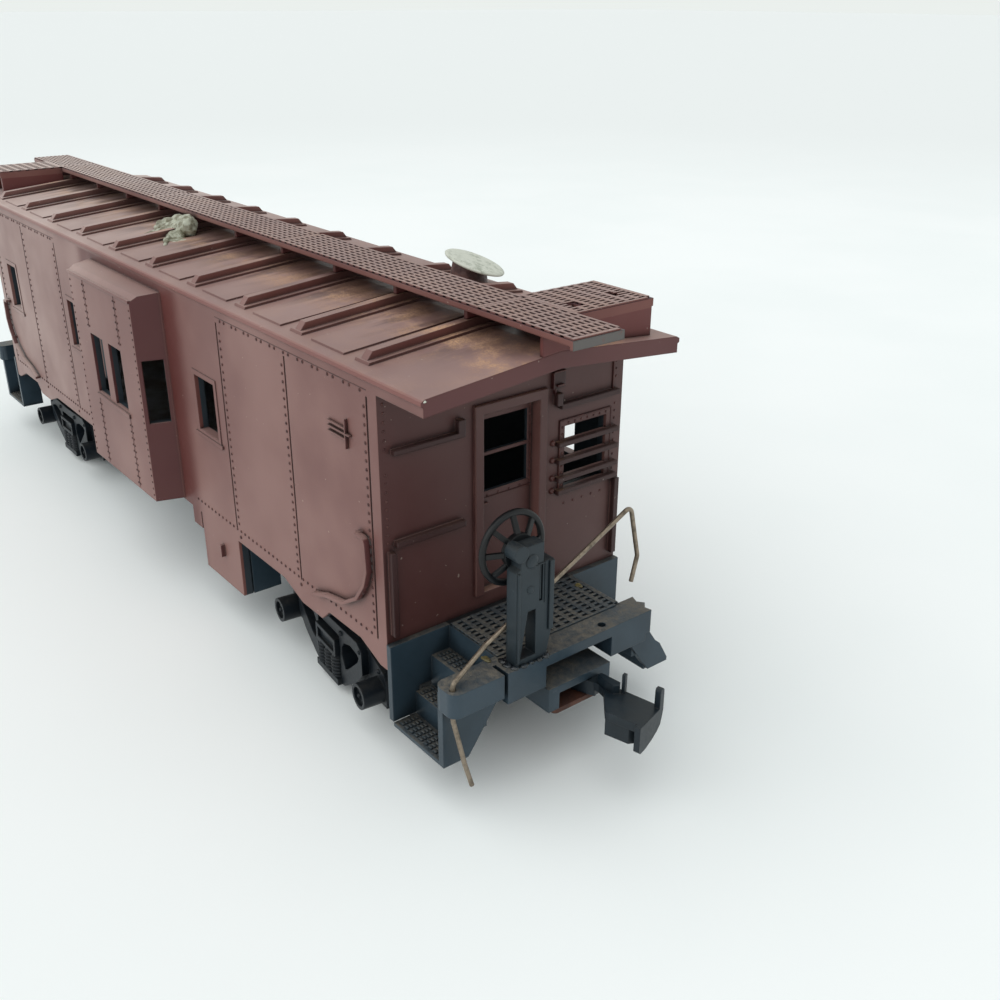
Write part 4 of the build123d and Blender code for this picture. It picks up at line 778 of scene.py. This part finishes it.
# the walk in lengths with a joint between each
WALK_LENGTHS = ((-81.45, -66.25), (-66.15, -22.05), (-21.95, 21.95), (22.05, 66.15), (66.25, 81.45))
BROKEN_SPOTS = ((70.8, 12.3, 1.0), (71.5, 5.2, 1.0))
walk_bars = Heap()
for x0, x1 in WALK_LENGTHS:
    grating(walk_bars, (x0, -LATTICE_HALF), (x1, LATTICE_HALF), *WALK_GRID, WALK_TOP, None)
for end, turned in ENDS:
    broken = BROKEN_SPOTS if end == "near" else ()
    grating(walk_bars, (64.95, 3.4), (74.35, 14.65), *BOARD_GRID, WALK_TOP, turned, broken)
walk_bars.build("roof_grating", walk_lacquer, "body")

# rows of studs on the steps: height of the tread, first y, last y
TREADS = ((6.3, 15.0, 17.1), (9.35, 12.6, 14.2), (13.4, 10.0, 11.9))
STUD_X = steps(69.3, 77.3, 0.93)
STUD_PITCH_Y = 0.48
deck_bars = Heap()
for _, turned in ENDS:
    grating(deck_bars, (68.55, -DECK_HALF), (DECK_END, DECK_HALF), *DECK_GRID, DECK_TOP, turned)
for z, y0, y1 in TREADS:
    for _, turned in ENDS:
        for side in (-1, 1):
            for x in STUD_X:
                for y in steps(y0, y1, STUD_PITCH_Y):
                    deck_bars.block((x - 0.3, side * y - 0.15, z - 0.05),
                                    (x + 0.3, side * y + 0.15, z + 0.18), turned)
deck_bars.build("platform_grating", frame_styrene, "body", edge=0.04)


# Trucks: spring coils, cap bolts and rivets on each side frame

SPRING_X = (-2.0, 0.0, 2.0)
SPRING_Y = 14.15
COIL_TOPS = steps(2.3, 5.4, 0.52)
COIL_R = 0.80
COIL_WIRE_R = 0.19
# three bolts on the cap of each axle box: the cap's middle and how far out they stand
CAP_AT = (12.2, 15.8, 5.4)
CAP_BOLTS_OUT = 0.7
CAP_BOLT = (0.34, 0.32)
# other bolts of half a side frame: x, y, z, radius, height
FRAME_BOLTS = ((12.2, 13.4, 8.0, 0.35, 0.3), (9.0, 14.4, 9.3, 0.3, 0.25), (3.9, 14.4, 9.4, 0.4, 0.4))
for end, turned in ENDS:
    swing = Matrix.Rotation(radians(NEAR_TURN) if end == "near" else 0, 4, "Z")
    place = turned @ Matrix.Translation((TRUCK_X, 0, 0)) @ swing
    hoops = Heap()
    bolts = Heap()
    for side in (-1, 1):
        for x in SPRING_X:
            for z in COIL_TOPS:
                hoops.ring((x, side * SPRING_Y, z), COIL_R, COIL_WIRE_R, place)
        for half in (-1, 1):
            for k in range(3):
                a = radians(90 + 120 * k)
                at = (half * CAP_AT[0] + CAP_BOLTS_OUT * cos(a), side * CAP_AT[1],
                      CAP_AT[2] + CAP_BOLTS_OUT * sin(a))
                bolts.dome(at, (0, side, 0), *CAP_BOLT, place)
            for x, y, z, radius, height in FRAME_BOLTS:
                bolts.dome((half * x, side * y, z), (0, side, 0), radius, height, place)
    hoops.build("spring_coils_" + end, truck_styrene, "truck_" + end, smooth=True)
    bolts.build("truck_bolts_" + end, truck_styrene, "truck_" + end, smooth=True)


# Brake stands: flanges, chain in the slot and bosses; the near one is glued in

STAND_BARS = (
    ((80.25, -9.1, 17.0), (80.5, -8.75, 28.0)),
    ((80.25, -4.75, 19.8), (80.55, -4.12, 28.35)),
    ((80.25, -5.35, 23.4), (80.42, -5.2, 28.35)),
    ((80.25, -6.5, 28.2), (80.42, -5.35, 28.38)),
    # the chain
    ((79.2, -5.93, 23.9), (80.2, -5.67, 28.3)),
)
# middle, radius, height and number of sides
STAND_BOSSES = (((80.3, -7.1, 28.9), 0.85, 0.3, 14), ((80.3, -7.3, 25.6), 0.5, 0.2, 12))
for end, turned in ENDS:
    fittings = Heap()
    for low, high in STAND_BARS:
        fittings.block(low, high, turned)
    for at, radius, height, sides in STAND_BOSSES:
        fittings.dome(at, (1, 0, 0), radius, height, turned, sides)
    fittings.build("stand_fittings_" + end, stand_styrene, "body", edge=0.05)

# beads squeezed out round the near stand's foot: x, y, size
STAND_BEADS = (
    (78.4, -9.3, 0.5), (79.3, -9.5, 0.45), (80.2, -9.2, 0.4), (80.45, -8.2, 0.35),
    (80.4, -7.1, 0.3), (80.45, -6.0, 0.35), (80.3, -5.0, 0.45), (79.4, -4.7, 0.5),
    (78.5, -4.8, 0.45), (78.3, -6.0, 0.4), (78.3, -7.4, 0.45), (78.3, -8.6, 0.4),
    (79.4, -7.6, 0.6), (79.5, -6.2, 0.5),
)
beads = Heap()
for k, (x, y, size) in enumerate(STAND_BEADS):
    beads.lump((x, y, DECK_TOP + 0.02), (size * 1.3, size * 1.3, size * 0.6), k * 1.9)
beads.build("stand_glue", dark_glue, "body", smooth=True)
# yellowed drops on the stand and the deck: place, half sizes, seed of the form
YELLOWED_DROPS = (
    ((79.3, -7.05, 22.9), (0.7, 0.45, 0.4), 0.6),
    ((76.9, -10.6, 16.55), (0.8, 0.4, 0.15), 2.1),
    ((71.2, 8.3, 16.7), (0.6, 0.4, 0.2), 4.1),
)
yellowed = Heap()
for drop in YELLOWED_DROPS:
    yellowed.lump(*drop)
yellowed.build("yellowed_glue", stain_glue, "body", smooth=True)


# The glue run out on the roof: strands of beads melted into one skin

# strands of points x, y, z, radius, from the head beside the walk outwards
GLUE_STRANDS = (
    ((-4.6, -5.0, 50.4, 1.6), (-5.0, -4.6, 51.0, 1.1)),
    ((-5.2, -4.5, 51.4, 0.8), (-8.5, -4.6, 51.0, 0.75), (-12.0, -4.9, 50.0, 0.8), (-14.2, -5.4, 49.5, 0.65)),
    ((-5.0, -5.2, 50.0, 1.0), (-9.5, -5.6, 49.7, 0.9), (-13.0, -6.4, 49.1, 0.6)),
    ((-8.0, -6.0, 49.8, 0.8), (-9.5, -7.9, 49.1, 0.6), (-10.6, -9.3, 48.8, 0.4)),
    ((-5.0, -5.5, 49.8, 0.9), (-5.9, -6.9, 49.3, 0.6), (-4.2, -8.6, 48.9, 0.5), (-1.8, -9.9, 48.7, 0.35)),
)
BEAD_PITCH = 0.35
run = Heap()
for n, strand in enumerate(GLUE_STRANDS):
    for first, last in zip(strand, strand[1:]):
        length = ((last[0] - first[0]) ** 2 + (last[1] - first[1]) ** 2) ** 0.5
        count = max(2, int(length / BEAD_PITCH))
        for k in range(count + 1):
            t = k / count
            x, y, z, r = [a + (b - a) * t for a, b in zip(first, last)]
            r *= 1 + 0.14 * sin(5 * t + 2 * n)
            run.lump((x, y, z), (r, r, r * 0.9), n + 0.7 * k)
# two flat puddles under them
run.lump((-7.0, -6.0, 49.0), (3.4, 2.0, 0.7), 1.0, rings=8, sides=16)
run.lump((-3.2, -6.9, 48.75), (1.8, 1.6, 0.3), 3.0, rings=8, sides=16)
blob = run.build("run_out_glue", roof_glue, "body", smooth=True)
melt = blob.modifiers.new("melted_together", "REMESH")
melt.mode = "VOXEL"
melt.voxel_size = 0.14 * MM
melt.use_smooth_shade = True
settle = blob.modifiers.new("settled_skin", "SMOOTH")
settle.iterations = 6
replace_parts(blob, "glue_blob")


# The white disc, its edge worn round

DISC_AT = (44.25, 12.85, 50.95)
DISC_FACES = (0.24, 0.24, 0.94)
DISC_SIDES = 48
# profile from the middle of the top to the middle of the underside: radius, height
DISC_PROFILE = (
    (1.4, 0.50), (2.9, 0.51), (3.6, 0.47), (3.95, 0.40), (4.1, 0.26),
    (4.05, 0.12), (3.8, 0.03), (2.6, 0.0), (1.3, 0.0),
)
tilt = Vector(DISC_FACES).to_track_quat("Z", "Y").to_matrix().to_4x4()
angles = [2 * pi * k / DISC_SIDES for k in range(DISC_SIDES)]
corners = [(r * cos(a), r * sin(a), h) for r, h in DISC_PROFILE for a in angles]
skin = [face[::-1] for face in bands(len(DISC_PROFILE), DISC_SIDES)]
skin.append(tuple(range(DISC_SIDES)))
skin.append(tuple(reversed(range(len(corners) - DISC_SIDES, len(corners)))))
disc = Heap()
disc.add(corners, skin, Matrix.Translation(DISC_AT) @ tilt)
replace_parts(disc.build("worn_disc", disc_skin, "body", smooth=True), "roof_disc")


# Chipped corner of the roof

chips = Heap()
chips.lump((76.02, -17.3, 47.62), (0.14, 0.24, 0.16), 1.3)
chips.build("roof_chip", disc_skin, "body", smooth=True)


# Camera, fitted to points measured in the photograph

CAMERA_AT = (156.87, -72.70, 82.61)
PICTURE_RIGHT = (0.62290, 0.78229, 0.00435)
PICTURE_DOWN = (0.33088, -0.25842, -0.90760)
CAMERA_LOOKS = (-0.70888, 0.56679, -0.41981)
camera = bpy.data.objects.new("camera", bpy.data.cameras.new("camera"))
bpy.context.scene.collection.objects.link(camera)
axes = Matrix((Vector(PICTURE_RIGHT), -Vector(PICTURE_DOWN), -Vector(CAMERA_LOOKS))).transposed()
camera.matrix_world = Matrix.Translation(Vector(CAMERA_AT) * MM) @ axes.to_4x4()
camera.data.sensor_width = 36.0
camera.data.lens = 39.24
camera.data.clip_start = 0.005
camera.data.clip_end = 20.0
bpy.context.scene.camera = camera


# Ground: a wide sheet of paper

def paper_sweep():
    """Matt white paper: faint wide creases, and a little greyer away from the car."""
    material, tree, shader, place = start_material("white_paper_sweep")
    creases = put(tree, NOISE, {"Vector": place, "Scale": 1 / (90 * MM), "Detail": 3.0})
    creases = put(tree, RANGE, {0: creases, 1: 0.35, 2: 0.65}, **EASED)
    colour = put(tree, MIX, {0: creases, 6: linear("#F1F6F4"), 7: linear("#F5F9F7")}, **COLOURS)
    away = put(tree, "ShaderNodeVectorMath", {0: place}, out="Value", operation="LENGTH")
    away = put(tree, RANGE, {0: away, 1: 200 * MM, 2: 700 * MM}, **EASED)
    feed(tree, shader, {"Base Color": stained(tree, colour, away, 1.0, "#E8ECEA"),
                        "Roughness": 0.8, "Specular IOR Level": 0.2})
    return material


PAPER_HALF = 6.0       # metres
floor_mesh = bpy.data.meshes.new("paper_floor")
paper_corners = [(x * PAPER_HALF, y * PAPER_HALF, 0) for x, y in ((-1, -1), (1, -1), (1, 1), (-1, 1))]
floor_mesh.from_pydata(paper_corners, [], [(0, 1, 2, 3)])
floor_mesh.materials.append(paper_sweep())
floor = bpy.data.objects.new("paper_floor", floor_mesh)
bpy.context.scene.collection.objects.link(floor)
floor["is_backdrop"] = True


# Light: a pale room and one wide window

world = bpy.data.worlds.new("pale_room")
bpy.context.scene.world = world
world.use_nodes = True
tree = world.node_tree
tree.nodes.clear()
# the room is pale where the camera sees it, straight or mirrored, and dimmer as a light
seen = put(tree, "ShaderNodeLightPath", out="Is Camera Ray")
for ray in ("Is Glossy Ray", "Is Transmission Ray"):
    seen = put(tree, MATH, {0: seen, 1: put(tree, "ShaderNodeLightPath", out=ray)}, **LARGER)
room = put(tree, "ShaderNodeBackground", {"Color": linear("#E9ECEE"), "Strength": 0.79})
pale = put(tree, "ShaderNodeBackground", {"Color": linear("#EBF0ED"), "Strength": 1.0})
surface = put(tree, "ShaderNodeMixShader", {0: seen, 1: room, 2: pale})
put(tree, "ShaderNodeOutputWorld", {0: surface})

WINDOW_FROM = (-0.06, -0.56, 0.83)
WINDOW_STRENGTH = 1.45
WINDOW_WIDTH = 90      # degrees
lamp = bpy.data.lights.new("window_light", "SUN")
lamp.energy = WINDOW_STRENGTH
lamp.angle = radians(WINDOW_WIDTH)
window = bpy.data.objects.new("window_light", lamp)
bpy.context.scene.collection.objects.link(window)
window.rotation_mode = "QUATERNION"
window.rotation_quaternion = Vector(WINDOW_FROM).to_track_quat("Z", "Y")

bpy.context.scene.view_settings.view_transform = "Standard"

low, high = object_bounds()
